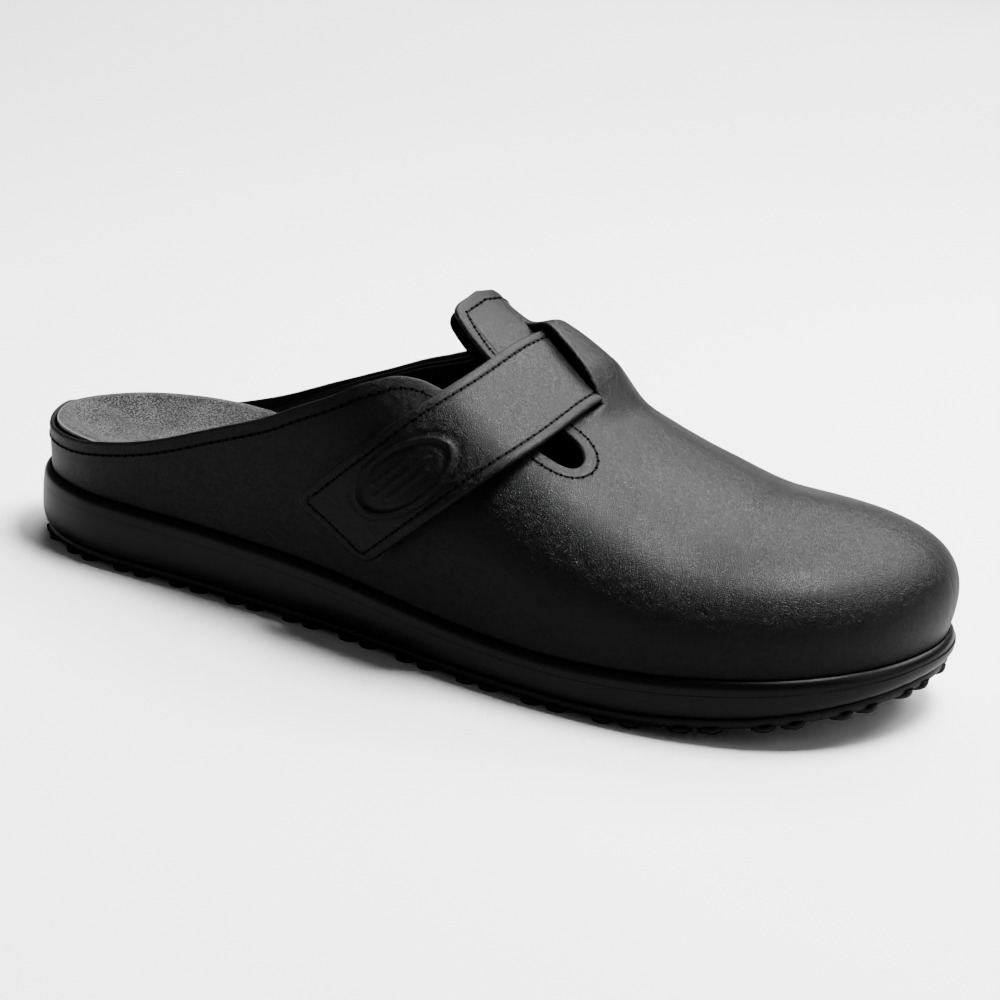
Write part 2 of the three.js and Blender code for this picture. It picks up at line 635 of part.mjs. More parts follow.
// The line that the strap bends about, in the finished frame.
const bendEnds = [0, 1].map((cross) => strapRow(cross, wayAt(cross, -HINGE_BACK), 1.02, 1)[0].at
  .add(new THREE.Vector3(0, 0, leatherHigh)).add(clog.position));
clog.userData.strapBend = bendEnds.map((p) => p.toArray());

export default clog;
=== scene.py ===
"""Black leather clog for the right foot: cup sole, grey suede footbed, slotted upper and hook-and-loop strap.

Shapes are worked out in millimetres in the shoe's own axes: x from the back of the heel to the toe, y from
the outer side (-) to the inner side (+), z up. place() carries them into the frame, in metres.
"""
import math

import bpy
import numpy as np
from mathutils import Matrix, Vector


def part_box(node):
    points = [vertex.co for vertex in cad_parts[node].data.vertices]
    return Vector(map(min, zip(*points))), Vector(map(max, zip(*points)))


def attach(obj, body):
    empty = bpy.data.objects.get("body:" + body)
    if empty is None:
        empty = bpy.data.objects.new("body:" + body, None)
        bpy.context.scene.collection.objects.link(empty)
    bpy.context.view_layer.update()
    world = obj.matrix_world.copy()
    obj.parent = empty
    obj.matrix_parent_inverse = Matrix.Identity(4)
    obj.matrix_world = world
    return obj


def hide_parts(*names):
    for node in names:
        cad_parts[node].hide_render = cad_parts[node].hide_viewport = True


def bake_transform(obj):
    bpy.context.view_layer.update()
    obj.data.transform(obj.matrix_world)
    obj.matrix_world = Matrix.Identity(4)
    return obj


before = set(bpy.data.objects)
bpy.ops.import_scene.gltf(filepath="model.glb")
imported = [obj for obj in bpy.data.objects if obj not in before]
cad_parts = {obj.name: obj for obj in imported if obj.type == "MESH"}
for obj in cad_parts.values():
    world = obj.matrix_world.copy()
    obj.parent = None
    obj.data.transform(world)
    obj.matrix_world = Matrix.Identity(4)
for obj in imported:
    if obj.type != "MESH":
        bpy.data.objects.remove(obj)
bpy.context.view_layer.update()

MM = 0.001


def unit(vectors):
    """Vectors divided by their length; one of no length stays as it is."""
    return vectors / np.maximum(np.linalg.norm(vectors, axis=-1, keepdims=True), 1e-12)


def lengths(points):
    """Distance along a line of points: the running total of its steps, from 0 at the first."""
    return np.r_[0, np.cumsum(np.linalg.norm(np.diff(points, axis=0), axis=1))]


def sampled(want, at, rows):
    """Rows of numbers listed at rising places, read between them along straight lines."""
    return np.stack([np.interp(want, at, rows[:, k]) for k in range(rows.shape[1])], axis=1)


# ---------------------------------------------------------------- the sole's rim
# Rim outline as shares of length and width, from the heel along the outer side to the toe and back.
RIM = np.array([
    (0, 0.01), (0.035, -0.212), (0.111, -0.337), (0.278, -0.375), (0.434, -0.418), (0.59, -0.491),
    (0.712, -0.519), (0.816, -0.491), (0.91, -0.385), (0.972, -0.202), (1, 0.058), (0.983, 0.26),
    (0.924, 0.404), (0.833, 0.471), (0.712, 0.481), (0.59, 0.442), (0.434, 0.37), (0.278, 0.341),
    (0.111, 0.332), (0.035, 0.221),
])
LENGTH = 288.0
WIDTH = 105.0
OUTER, INNER = 0, 1
RIM_PER_PIECE = 160
LINE_PER_PIECE = 24


def closed_curve(points, per_piece):
    """A closed centripetal Catmull-Rom curve: each piece is a cubic whose end slopes come from its
    neighbours, with knots spaced by the square root of the distance between points."""
    p0, p1, p2, p3 = (np.roll(points, k, axis=0) for k in (1, 0, -1, -2))
    gap = [np.linalg.norm(b - a, axis=1)[:, None] ** 0.5 for a, b in ((p0, p1), (p1, p2), (p2, p3))]
    m1 = ((p1 - p0) / gap[0] - (p2 - p0) / (gap[0] + gap[1]) + (p2 - p1) / gap[1]) * gap[1]
    m2 = ((p2 - p1) / gap[1] - (p3 - p1) / (gap[1] + gap[2]) + (p3 - p2) / gap[2]) * gap[1]
    t = np.linspace(0, 1, per_piece, endpoint=False)[None, :, None]
    a, b, c, d = (v[:, None, :] for v in (p1, p2, m1, m2))
    curve = ((2 * t**3 - 3 * t**2 + 1) * a + (t**3 - 2 * t**2 + t) * c
             + (3 * t**2 - 2 * t**3) * b + (t**3 - t**2) * d)
    return curve.reshape(-1, points.shape[1])


def open_curve(points, count):
    """The same curve through an open list of points, resampled to count even steps."""
    points = np.asarray(points, float)
    ends = np.vstack([2 * points[0] - points[1], points, 2 * points[-1] - points[-2]])
    dense = closed_curve(ends, LINE_PER_PIECE)[LINE_PER_PIECE:LINE_PER_PIECE * len(points) + 1]
    length = lengths(dense)
    return sampled(np.linspace(0, length[-1], count), length, dense)


rim_dense = closed_curve(RIM * (LENGTH, WIDTH), RIM_PER_PIECE)
rim_dense = np.roll(rim_dense, -rim_dense[:, 0].argmin(), axis=0)
rim_middle = (rim_dense.min(0) + rim_dense.max(0)) / 2
rim_low, rim_high = rim_dense[:, 0].min(), rim_dense[:, 0].max()
rim_dense[:, 0] = (rim_dense[:, 0] - rim_low) * LENGTH / (rim_high - rim_low)
tip = rim_dense[:, 0].argmax()
RIM_HALVES = (rim_dense[:tip + 1], np.vstack([rim_dense[:1], rim_dense[:tip - 1:-1]]))


def x_at(angle):
    """Place along the shoe of an angle, 0 at the heel and pi at the toe: half the length times one minus
    the cosine."""
    return LENGTH * (1 - np.cos(angle)) / 2


def angle_at(x):
    """The angle of a place along the shoe, by the arc cosine."""
    return np.arccos(np.clip(1 - 2 * np.asarray(x, float) / LENGTH, -1, 1))


def rim_point(side, angle):
    """Rim at an angle, read from the side's half of the outline. An angle past either end turns back along
    the other side."""
    beyond = (angle < 0) | (angle > np.pi)
    inside = np.where(angle < 0, -angle, np.where(angle > np.pi, 2 * np.pi - angle, angle))
    x = x_at(inside)
    low, high = (np.interp(x, half[:, 0], half[:, 1]) for half in RIM_HALVES)
    on_outer = (np.asarray(side) == OUTER) ^ beyond
    return np.stack(np.broadcast_arrays(x, np.where(on_outer, low, high)), axis=-1)


def rim_normal(side, angle):
    """Outward normal of the rim, square to the chord between two close angles."""
    chord = unit(rim_point(side, angle + 0.03) - rim_point(side, angle - 0.03))
    sign = np.where(np.asarray(side) == OUTER, 1.0, -1.0)
    return np.stack([chord[..., 1] * sign, -chord[..., 0] * sign], axis=-1)


def inset_point(side, angle, inset):
    """Rim point moved inward along its normal."""
    return rim_point(side, angle) - rim_normal(side, angle) * np.asarray(inset)[..., None]


sole_box = np.array(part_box("cup_sole"))
SHIFT = np.append(sole_box.mean(0)[:2] / MM - rim_middle, 0)


def place(points):
    """Points of the shoe carried to their place in the frame and from millimetres to metres."""
    return (np.asarray(points, float) + SHIFT) * MM


# ---------------------------------------------------------------- heights along the shoe
def heights(points):
    """A curve of x through the points, each piece a cubic whose end slopes are the harmonic mean of its
    neighbours' slopes, and zero at a turning point, so it never overshoots. x is a share of the length."""
    xs, vs = np.array(points, float).T
    steps = np.diff(vs) / np.diff(xs)
    product = steps[:-1] * steps[1:]
    total = np.where(product > 0, steps[:-1] + steps[1:], 1)
    slopes = np.r_[steps[0], np.where(product > 0, 2 * product / total, 0), steps[-1]]

    def at(x):
        """The curve's height at places along the shoe."""
        share = np.clip(np.asarray(x, float) / LENGTH, xs[0], xs[-1])
        i = np.clip(np.searchsorted(xs, share, side="right") - 1, 0, len(xs) - 2)
        h = xs[i + 1] - xs[i]
        k = (share - xs[i]) / h
        return ((1 + 2 * k) * (1 - k) ** 2 * vs[i] + k * (1 - k) ** 2 * h * slopes[i]
                + k * k * (3 - 2 * k) * vs[i + 1] + k * k * (k - 1) * h * slopes[i + 1])

    return at


lip = heights([(0, 21.9), (0.35, 20.2), (0.68, 15), (1, 22.1)])
RIDGE_TOP = 92.0
ridge_share = heights([
    (0, 1.36), (0.208, 1.327), (0.347, 1.25), (0.451, 1.107), (0.503, 0.978), (0.556, 0.889), (0.608, 0.798),
    (0.642, 0.744), (0.729, 0.637), (0.816, 0.574), (0.91, 0.588), (1, 0.607),
])
TOE_SPRING = 11.7
BALL = 0.7


def ridge(x):
    """Height of the last's ridge: its share at a place, times the height at the instep."""
    return RIDGE_TOP * ridge_share(x)


def spring(x):
    """Lift of the sole's underside: the square of the share past the ball of the foot, times the toe
    spring."""
    return TOE_SPRING * np.clip((np.asarray(x) / LENGTH - BALL) / (1 - BALL), 0, 1) ** 2


def smooth(low, high, v):
    """0 below low, 1 above high, and an S-shaped cubic between."""
    t = np.clip((np.asarray(v, float) - low) / (high - low), 0, 1)
    return t * t * (3 - 2 * t)


def fade(away, flat, end):
    """1 up to flat, 0 past end, and a squared cosine between."""
    return np.cos(np.pi / 2 * np.clip((away - flat) / (end - flat), 0, 1)) ** 2


# ---------------------------------------------------------------- the last: outer form of the upper
SPINE = (45.0, 232.0)
SPINE_Y = 6.9
FULLNESS = 2.57
BULGE = 5.5
BULGE_END = 0.8
UPPER_INSET = 2.5
FOOT_DROP = 3
STRAP_WIDTH = 25.7
STRAP_X = 0.595 * LENGTH
LEAN = np.array([0.65, 0.76])
STRAP_PLANE = LEAN[0] * STRAP_X - LEAN[1] * ridge(STRAP_X)
SLIT_AT = np.array([STRAP_X + 2.2, 4.5])
SLIT_TURN = math.radians(-23.7)
SLIT_ALONG = np.array([math.cos(SLIT_TURN), math.sin(SLIT_TURN)])
SLIT_IN = np.array([-SLIT_ALONG[1], SLIT_ALONG[0]])
FLAT, FRONT, BACK = 0, 1, 2
BRIDGE_LIFT = 6.6
BRIDGE_CROWN = 1.1
BRIDGE_INNER_END = (14, 48)
FRONT_RISE = 11


def slit_side(points):
    """How far points lie on the inner side of the slit's line, seen from above."""
    return (points[..., :2] - SLIT_AT) @ SLIT_IN


def bridge_lift(x, y, z, front):
    """Rise of the leather round the strap. Behind the slit it is flat over the strap's band, with a ramp
    beyond each edge of the band and a long one down the inner side. In front it rises only past the band's
    toe edge, to meet the back and close the slit there."""
    signed = LEAN[0] * x - LEAN[1] * z - STRAP_PLANE
    across = np.abs(signed)
    half = STRAP_WIDTH / 2
    crown = BRIDGE_CROWN * np.maximum(1 - (across / (half + 2)) ** 2, 0) ** 2
    lift = (BRIDGE_LIFT * fade(across, half - 5, half + 8) + crown) * fade(y - SLIT_AT[1], *BRIDGE_INNER_END)
    if not front:
        return lift
    ahead = -slit_side(np.stack([x, y], axis=-1))
    return lift * smooth(half + 0.2, half + 3.2, signed) * fade(ahead, 0, FRONT_RISE)


def surface(angle, way, depth=0.0, lifted=FLAT):
    """Point of the last. Way runs 0 at the outer rim, 1 at the ridge, 2 at the inner rim. Each arc is a
    superellipse quarter from the inset rim to a spine point: the cosine and sine of the turn, to the power
    two over the fullness, carry it across and up, and a half sine wave swells it outward."""
    angle, way = np.broadcast_arrays(np.asarray(angle, float), np.asarray(way, float))
    side = np.where(way <= 1, OUTER, INNER)
    share = np.clip(np.where(way <= 1, way, 2 - way), 0, 1)
    foot = inset_point(side, angle, UPPER_INSET + depth)
    outward = rim_normal(side, angle)
    spine_x = SPINE[0] + (SPINE[1] - SPINE[0]) * (1 - np.cos(angle)) / 2
    turn = share * np.pi / 2
    near = np.where(share >= 1, 0, np.maximum(np.cos(turn), 0)) ** (2 / FULLNESS)
    rise = np.sin(turn) ** (2 / FULLNESS)
    swell = np.where(share >= BULGE_END, 0, BULGE * np.sin(np.pi * share / BULGE_END))
    x = spine_x + (foot[..., 0] - spine_x) * near + outward[..., 0] * swell
    y = SPINE_Y + (foot[..., 1] - SPINE_Y) * near + outward[..., 1] * swell
    base = lip(x) - FOOT_DROP
    slope = ridge(x + 0.5) - ridge(x - 0.5)
    z = base + (ridge(x) - depth * np.hypot(1, slope) - base) * rise
    if lifted != FLAT:
        z = z + bridge_lift(x, y, base + (ridge(x) - base) * rise, lifted == FRONT)
    return np.stack([x, y, z], axis=-1)


def tangents(angle, way, step=0.004):
    """Slopes of the surface along angle and way by central differences, and the unit normal."""
    way = np.clip(way, step, 2 - step)
    along = (surface(angle + step, way) - surface(angle - step, way)) / (2 * step)
    up = (surface(angle, way + step) - surface(angle, way - step)) / (2 * step)
    return along, up, unit(np.cross(along, up))


# ---------------------------------------------------------------- edge of the foot opening
# Each point is a rim station in millimetres from the heel, and a way.
OUTER_EDGE = [(0, 0.060), (15, 0.057), (35, 0.066), (60, 0.097), (80, 0.144), (100, 0.205), (110, 0.252),
              (122, 0.324), (131, 0.399), (136, 0.447), (140.5, 0.500), (144.6, 0.538), (149.2, 0.566),
              (154, 0.580), (160, 0.592), (170, 0.608), (181, 0.622), (190, 0.634)]
SLOT_END = [(198, 0.639), (202.4, 0.656), (205.3, 0.688), (206.1, 0.722), (204.8, 0.750), (201.8, 0.767)]
TAB_SIDE = [(197.5, 0.773), (187, 0.781), (176, 0.789), (166, 0.801), (157, 0.826), (151.5, 0.846),
            (148.6, 0.859)]
TAB_TOP = [(147.5, 0.866), (146.7, 0.880), (146.6, 0.91), (147.1, 0.95), (147.4, 1.0), (146.4, 1.06),
           (144.9, 1.12), (143.1, 1.19)]
INNER_EDGE = [(141.3, 1.262), (139.5, 1.34), (137, 1.45), (133, 1.565), (127, 1.655), (119, 1.708),
              (110, 1.750), (100, 1.792), (90, 1.826), (80, 1.856), (60, 1.908), (35, 1.946), (15, 1.950),
              (0, 1.941)]
EDGE_STEPS = 1500
ARC_SPREAD = 100.0


def opening_edge():
    """Angles and ways of the opening's edge, evenly spaced along a smooth curve through its points. The
    angle is spread to millimetres and the way to about the length of an arc, so that even steps are even."""
    listed = np.array(OUTER_EDGE + SLOT_END + TAB_SIDE + TAB_TOP + INNER_EDGE, float)
    spread = np.array([LENGTH / 2, ARC_SPREAD])
    curve = open_curve(np.column_stack([angle_at(listed[:, 0]), listed[:, 1]]) * spread, EDGE_STEPS) / spread
    return curve[:, 0], curve[:, 1]


def shifted(angle, way, distance):
    """The edge moved along the surface, away from the opening, by a distance in millimetres: the step is
    split into angle and way by solving for the surface slopes that make it up."""
    along, up, normal = tangents(angle, way)
    path = surface(angle, way)
    move = np.cross(unit(np.gradient(path, axis=0)), normal) * np.reshape(distance, (-1, 1))
    a, b, c = ((along * along).sum(1), (along * up).sum(1), (up * up).sum(1))
    p, q = (along * move).sum(1), (up * move).sum(1)
    det = a * c - b * b
    return angle + (c * p - b * q) / det, way + (a * q - b * p) / det


# ---------------------------------------------------------------- mesh tools
def welded(points, faces, tolerance=1e-3):
    """Points that share a place become one, and faces that lose their area go."""
    keys = np.round(points / tolerance).astype(np.int64)
    _, first, back = np.unique(keys, axis=0, return_index=True, return_inverse=True)
    faces = back.reshape(-1)[faces]
    live = (faces[:, 0] != faces[:, 1]) & (faces[:, 1] != faces[:, 2]) & (faces[:, 2] != faces[:, 0])
    return points[first], faces[live], first


def grid_faces(rows, columns):
    """Two triangles for each cell of a grid of rows by columns points."""
    index = np.arange(rows * columns).reshape(rows, columns)
    a, b, c, d = index[:-1, :-1], index[1:, :-1], index[1:, 1:], index[:-1, 1:]
    return np.concatenate([np.stack([a, b, c], -1).reshape(-1, 3), np.stack([a, c, d], -1).reshape(-1, 3)])


def clip(values, faces, field):
    """The part of a mesh where field is at least zero. Faces that cross zero are cut along straight lines;
    values are per-point rows that the new points take by interpolation."""
    sign = field[faces]
    following = np.roll(faces, -1, axis=1)
    crossing = sign * field[following] < 0
    low, high = np.minimum(faces, following), np.maximum(faces, following)
    keys = (low * len(field) + high)[crossing]
    unique, back = np.unique(keys, return_inverse=True)
    a, b = unique // len(field), unique % len(field)
    part = (field[a] / (field[a] - field[b]))[:, None]
    cut = np.full(faces.shape, -1)
    cut[crossing] = len(field) + back.reshape(-1)
    corners = np.full((len(faces), 6), -1)
    corners[:, 0::2] = np.where(sign >= 0, faces, -1)
    corners[:, 1::2] = cut
    order = np.argsort(corners < 0, axis=1, kind="stable")[:, :4]
    corners = np.take_along_axis(corners, order, axis=1)
    corners = corners[(sign > 0).any(1)]
    count = (corners >= 0).sum(1)
    kept = np.concatenate([corners[count >= 3][:, :3], corners[count == 4][:, [0, 2, 3]]])
    values = np.vstack([values, values[a] + (values[b] - values[a]) * part])
    used, index = np.unique(kept, return_inverse=True)
    return values[used], index.reshape(-1, 3), np.append(field, np.zeros(len(unique)))[used]


def point_normals(points, faces):
    """Unit normals at the points, each the sum of its faces' area normals."""
    a, b, c = (points[faces[:, k]] for k in range(3))
    area = np.cross(b - a, c - a)
    total = np.zeros_like(points)
    for k in range(3):
        for axis in range(3):
            total[:, axis] += np.bincount(faces[:, k], area[:, axis], len(points))
    return unit(total)


ROUND_STEPS = 6


def shell(points, faces, thick, squareness=1.0):
    """A sheet given thickness: the sheet, a copy moved back along the normals by the thickness, and a
    half-round edge between them, whose section is a half superellipse standing out from the sheet's border.
    Returns points, triangles, quads, and for each point 1 if it lies on the round edge, else 0."""
    normal = point_normals(points, faces)
    count = len(points)
    thick = np.broadcast_to(thick, count)[:, None]
    start = faces.reshape(-1)
    end = np.roll(faces, -1, axis=1).reshape(-1)
    keys = start * count + end
    border = ~np.isin(keys, end * count + start)
    start, end = start[border], end[border]
    rim, start_in = np.unique(start, return_inverse=True)
    place_of = np.full(count, -1)
    place_of[rim] = np.arange(len(rim))
    end_in = place_of[end]
    heading = np.zeros((len(rim), 3))
    for axis in range(3):
        step = points[end][:, axis] - points[start][:, axis]
        heading[:, axis] = np.bincount(start_in, step, len(rim)) + np.bincount(end_in, step, len(rim))
    outward = unit(np.cross(heading, normal[rim]))
    radius = thick[rim] / 2
    rings = []
    for turn in np.arange(1, ROUND_STEPS) * np.pi / ROUND_STEPS:
        out = np.sin(turn) ** squareness
        down = np.copysign(abs(np.cos(turn)) ** squareness, np.cos(turn))
        rings.append(points[rim] + outward * radius * out - normal[rim] * radius * (1 - down))
    everything = np.vstack([points, points - normal * thick] + rings)
    on_ring = 2 * count + np.arange(len(rim) * len(rings)).reshape(len(rings), -1)
    chain = [rim, *on_ring, rim + count]
    quads = np.concatenate([
        np.stack([upper[start_in], lower[start_in], lower[end_in], upper[end_in]], 1)
        for upper, lower in zip(chain[:-1], chain[1:])
    ])
    triangles = np.vstack([faces, faces[:, ::-1] + count])
    return everything, triangles, quads, np.repeat([0.0, 1.0], [2 * count, on_ring.size])


def add_object(name, data):
    """An object in the scene."""
    made = bpy.data.objects.new(name, data)
    bpy.context.scene.collection.objects.link(made)
    return made


def make(name, points, faces, material, body="shoe", quads=None, attributes=None):
    """A smooth-shaded mesh object from arrays of points in shoe millimetres and of faces, with numbers at its
    points as attributes. It rides a body, unless that is None."""
    mesh = bpy.data.meshes.new(name)
    parts = [np.asarray(faces)] if quads is None else [np.asarray(faces), np.asarray(quads)]
    parts = [part for part in parts if len(part)]
    loops = np.concatenate([part.reshape(-1) for part in parts])
    sizes = np.concatenate([np.full(len(part), part.shape[1]) for part in parts])
    mesh.vertices.add(len(points))
    mesh.vertices.foreach_set("co", place(points).astype(np.float32).reshape(-1))
    mesh.loops.add(len(loops))
    mesh.loops.foreach_set("vertex_index", loops.astype(np.int32))
    mesh.polygons.add(len(sizes))
    mesh.polygons.foreach_set("loop_start", np.r_[0, np.cumsum(sizes)[:-1]].astype(np.int32))
    mesh.update(calc_edges=True)
    mesh.validate()
    for key, data in (attributes or {}).items():
        layer = mesh.attributes.new(key, "FLOAT", "POINT")
        layer.data.foreach_set("value", np.asarray(data, np.float32))
    mesh.polygons.foreach_set("use_smooth", np.full(len(mesh.polygons), True))
    mesh.materials.append(material)
    piece = add_object(name, mesh)
    if body:
        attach(piece, body)
    return piece


def tube_faces(count, size):
    """Triangles between count stacked rings of size points; rings run upward and points run
    counter-clockwise from above."""
    index = np.arange(count * size).reshape(count, size)
    beside = np.roll(index, -1, axis=1)
    corners = [v.reshape(-1) for v in (index[:-1], beside[:-1], beside[1:], index[1:])]
    return np.concatenate([np.stack([corners[k] for k in three], -1) for three in ((0, 1, 2), (0, 2, 3))])


def closed_tube_faces(count, size):
    """The same, closed by fans to two more points: one before the first ring and one past the last."""
    around = np.arange(size)
    beside = np.roll(around, -1)
    low_middle, high_middle = (np.full(size, count * size + k) for k in (0, 1))
    top = (count - 1) * size
    return np.vstack([tube_faces(count, size), np.stack([low_middle, beside, around], 1),
                      np.stack([high_middle, top + around, top + beside], 1)])


# ---------------------------------------------------------------- shader building
FLOAT, VECTOR, COLOR = "NodeSocketFloat", "NodeSocketVector", "NodeSocketColor"
GRAIN_TURN = (0.6, 0.4, 0.8)
GRAIN_CELLS = 2100.0
GROOVE_HALF = 0.5


def link(tree, source, target):
    """Joins an output to an input."""
    tree.links.new(source, target)


def fill(tree, made, inputs):
    """Sets a node's inputs, given by name or number, to values, or links them to outputs."""
    for key, value in inputs.items():
        if isinstance(value, bpy.types.NodeSocket):
            link(tree, value, made.inputs[key])
        else:
            made.inputs[key].default_value = value


def node(tree, kind, inputs=None, **settings):
    """A shader node: settings are its properties, and inputs fill its inputs."""
    made = tree.nodes.new(kind)
    for key, value in settings.items():
        setattr(made, key, value)
    fill(tree, made, inputs or {})
    return made


def maths(tree, operation, *values):
    """The result of one operation on values."""
    return node(tree, "ShaderNodeMath", dict(enumerate(values)), operation=operation).outputs[0]


def weighted(tree, *parts):
    """The sum of values, each times its weight."""
    total = 0.0
    for value, weight in parts:
        total = maths(tree, "MULTIPLY_ADD", value, weight, total)
    return total


def band(tree, value, low, high, out_low=0.0, out_high=1.0):
    """Value carried from low..high to out_low..out_high along an S-shaped curve."""
    return node(tree, "ShaderNodeMapRange", {
        "Value": value, "From Min": low, "From Max": high, "To Min": out_low, "To Max": out_high,
    }, interpolation_type="SMOOTHSTEP").outputs["Result"]


def noise(tree, at, scale, detail=2.0, **more):
    """Outputs of a noise with a number of waves to the metre."""
    return node(tree, "ShaderNodeTexNoise", {"Vector": at, "Scale": scale, "Detail": detail, **more}).outputs


def mixed(tree, part, low, high):
    """A colour between two."""
    return node(tree, "ShaderNodeMix", {0: part, 6: low, 7: high}, data_type="RGBA").outputs[2]


def shader_group(name, inputs, outputs):
    """An empty group with its tree, the outputs that carry what it is given, and the node for its results."""
    tree = bpy.data.node_groups.new(name, "ShaderNodeTree")
    for label, kind, value in inputs:
        socket = tree.interface.new_socket(label, in_out="INPUT", socket_type=kind)
        if value is not None:
            socket.default_value = value
    for label, kind in outputs:
        tree.interface.new_socket(label, in_out="OUTPUT", socket_type=kind)
    return tree, tree.nodes.new("NodeGroupInput").outputs, tree.nodes.new("NodeGroupOutput")


def use(tree, group, inputs):
    """The outputs of a group."""
    return node(tree, "ShaderNodeGroup", inputs, node_tree=group).outputs


def attribute(tree, name):
    """A number stored at the mesh's points."""
    return node(tree, "ShaderNodeAttribute", attribute_name=name).outputs["Fac"]


def pebble_group():
    """Leather grain: small cells with rounded tops and thin creases, over fine noise and a soft roll. The
    grain is turned out of the shoe's axes, so that no row of cells follows them."""
    tree, given, result = shader_group("LeatherPebble", [("Place", VECTOR, None)],
                                       [("Height", FLOAT), ("Shade", FLOAT)])
    at = node(tree, "ShaderNodeVectorRotate", {"Vector": given["Place"], "Rotation": GRAIN_TURN},
              rotation_type="EULER_XYZ").outputs[0]
    shift = node(tree, "ShaderNodeVectorMath", {0: noise(tree, at, 420.0)["Color"], "Scale": 0.0012},
                 operation="SCALE").outputs[0]
    moved = node(tree, "ShaderNodeVectorMath", {0: at, 1: shift}, operation="ADD").outputs[0]
    cells = node(tree, "ShaderNodeTexVoronoi", {"Vector": moved, "Scale": GRAIN_CELLS},
                 feature="DISTANCE_TO_EDGE")
    tops = band(tree, cells.outputs["Distance"], 0.0, 0.22)
    fill(tree, result, {
        "Height": weighted(tree, (tops, 0.45), (noise(tree, at, 3200.0)["Fac"], 0.2),
                           (noise(tree, at, 240.0, 3.0)["Fac"], 1.1)),
        "Shade": noise(tree, at, 30.0, 4.0)["Fac"],
    })
    return tree


def seam_group():
    """The narrow groove under a seam's thread: 1 on its line, 0 past its half width. All in millimetres."""
    tree, given, result = shader_group("SeamGroove", [("Distance", FLOAT, 50.0), ("Seam", FLOAT, 3.0)],
                                       [("Groove", FLOAT)])
    away = maths(tree, "ABSOLUTE", maths(tree, "SUBTRACT", given["Distance"], given["Seam"]))
    fill(tree, result, {"Groove": band(tree, away, 0.0, GROOVE_HALF, 1.0, 0.0)})
    return tree


def nap_group():
    """Suede: short fibres as fine noise, with lighter and darker flecks and brushed patches."""
    tree, given, result = shader_group("SuedeNap", [
        ("Place", VECTOR, None), ("Dark", COLOR, (0.011, 0.011, 0.0114, 1)),
        ("Light", COLOR, (0.095, 0.095, 0.092, 1)),
    ], [("Color", COLOR), ("Height", FLOAT)])
    fibre = noise(tree, given["Place"], 2300.0, 4.0, Roughness=0.7)["Fac"]
    patch = noise(tree, given["Place"], 90.0, 4.0)["Fac"]
    fleck = node(tree, "ShaderNodeTexVoronoi", {"Vector": given["Place"], "Scale": 2000.0})
    level = weighted(tree, (fibre, 0.9), (patch, 0.2), (fleck.outputs["Distance"], -0.35))
    part = band(tree, level, 0.30, 0.58)
    fill(tree, result, {"Color": mixed(tree, part, given["Dark"], given["Light"]), "Height": fibre})
    return tree


PEBBLE, SEAM, NAP = pebble_group(), seam_group(), nap_group()


def material(name):
    """An empty material, its tree, and the place in the piece's own metres."""
    made = bpy.data.materials.new(name)
    made.use_nodes = True
    made.node_tree.nodes.clear()
    return made, made.node_tree, node(made.node_tree, "ShaderNodeTexCoord").outputs["Object"]


def surfaced(made, color, rough, specular, height=None, depth=0.0, sheen=0.0):
    """Gives a material its surface, with a bump whose depth is in metres."""
    tree = made.node_tree
    shader = node(tree, "ShaderNodeBsdfPrincipled", {
        "Base Color": color, "Roughness": rough, "Specular IOR Level": specular, "Sheen Weight": sheen,
    })
    if height is not None:
        bump = node(tree, "ShaderNodeBump", {"Height": height, "Distance": depth})
        link(tree, bump.outputs[0], shader.inputs["Normal"])
    link(tree, shader.outputs[0], node(tree, "ShaderNodeOutputMaterial").inputs["Surface"])
    return made


def leather_material(name, seam):
    """Black finished leather. Seam is the distance in millimetres from the piece's edge to its stitches."""
    made, tree, at = material(name)
    grain = use(tree, PEBBLE, {"Place": at})
    groove = use(tree, SEAM, {"Distance": attribute(tree, "edge"), "Seam": seam})["Groove"]
    rough = band(tree, grain["Shade"], 0.3, 0.7, 0.32, 0.41)
    return surfaced(made, (0.0012, 0.0012, 0.0013, 1), weighted(tree, (rough, 1.0), (groove, 0.2)), 0.10,
                    weighted(tree, (grain["Height"], 1.0), (groove, -1.2)), 0.00012)


def plain_material(name, color, rough, specular, scale, depth, vary=0.15):
    """A matt or satin material with a noise bump and a slight change of shade."""
    made, tree, at = material(name)
    level = noise(tree, at, scale, 4.0)["Fac"]
    low, high = (tuple(c * k for c in color) + (1,) for k in (1 - vary, 1 + vary))
    return surfaced(made, mixed(tree, level, low, high), rough, specular, level, depth)


def woven_material(name, shade, pitch):
    """Knitted tape or lining: two crossed sine waves, a pitch in metres apart, make the weave."""
    made, tree, at = material(name)
    waves = [
        node(tree, "ShaderNodeTexWave", {"Vector": at, "Scale": 1 / pitch, "Distortion": 1.5},
             bands_direction=axis).outputs["Fac"]
        for axis in ("X", "Z")
    ]
    height = weighted(tree, *((wave, 1.0) for wave in [*waves, noise(tree, at, 1800.0)["Fac"]]))
    return surfaced(made, (shade, shade, shade, 1), 0.92, 0.05, height, 0.00012)


def suede_material():
    """Grey suede, with the pale cut edge of the hide round its rim."""
    made, tree, at = material("footbed_suede")
    nap = use(tree, NAP, {"Place": at})
    color = mixed(tree, attribute(tree, "rim"), nap["Color"], (0.15, 0.147, 0.137, 1))
    return surfaced(made, color, 0.95, 0.1, nap["Height"], 0.0002, sheen=0.04)


def grey(shade):
    """A colour with no hue."""
    return (shade, shade, shade)


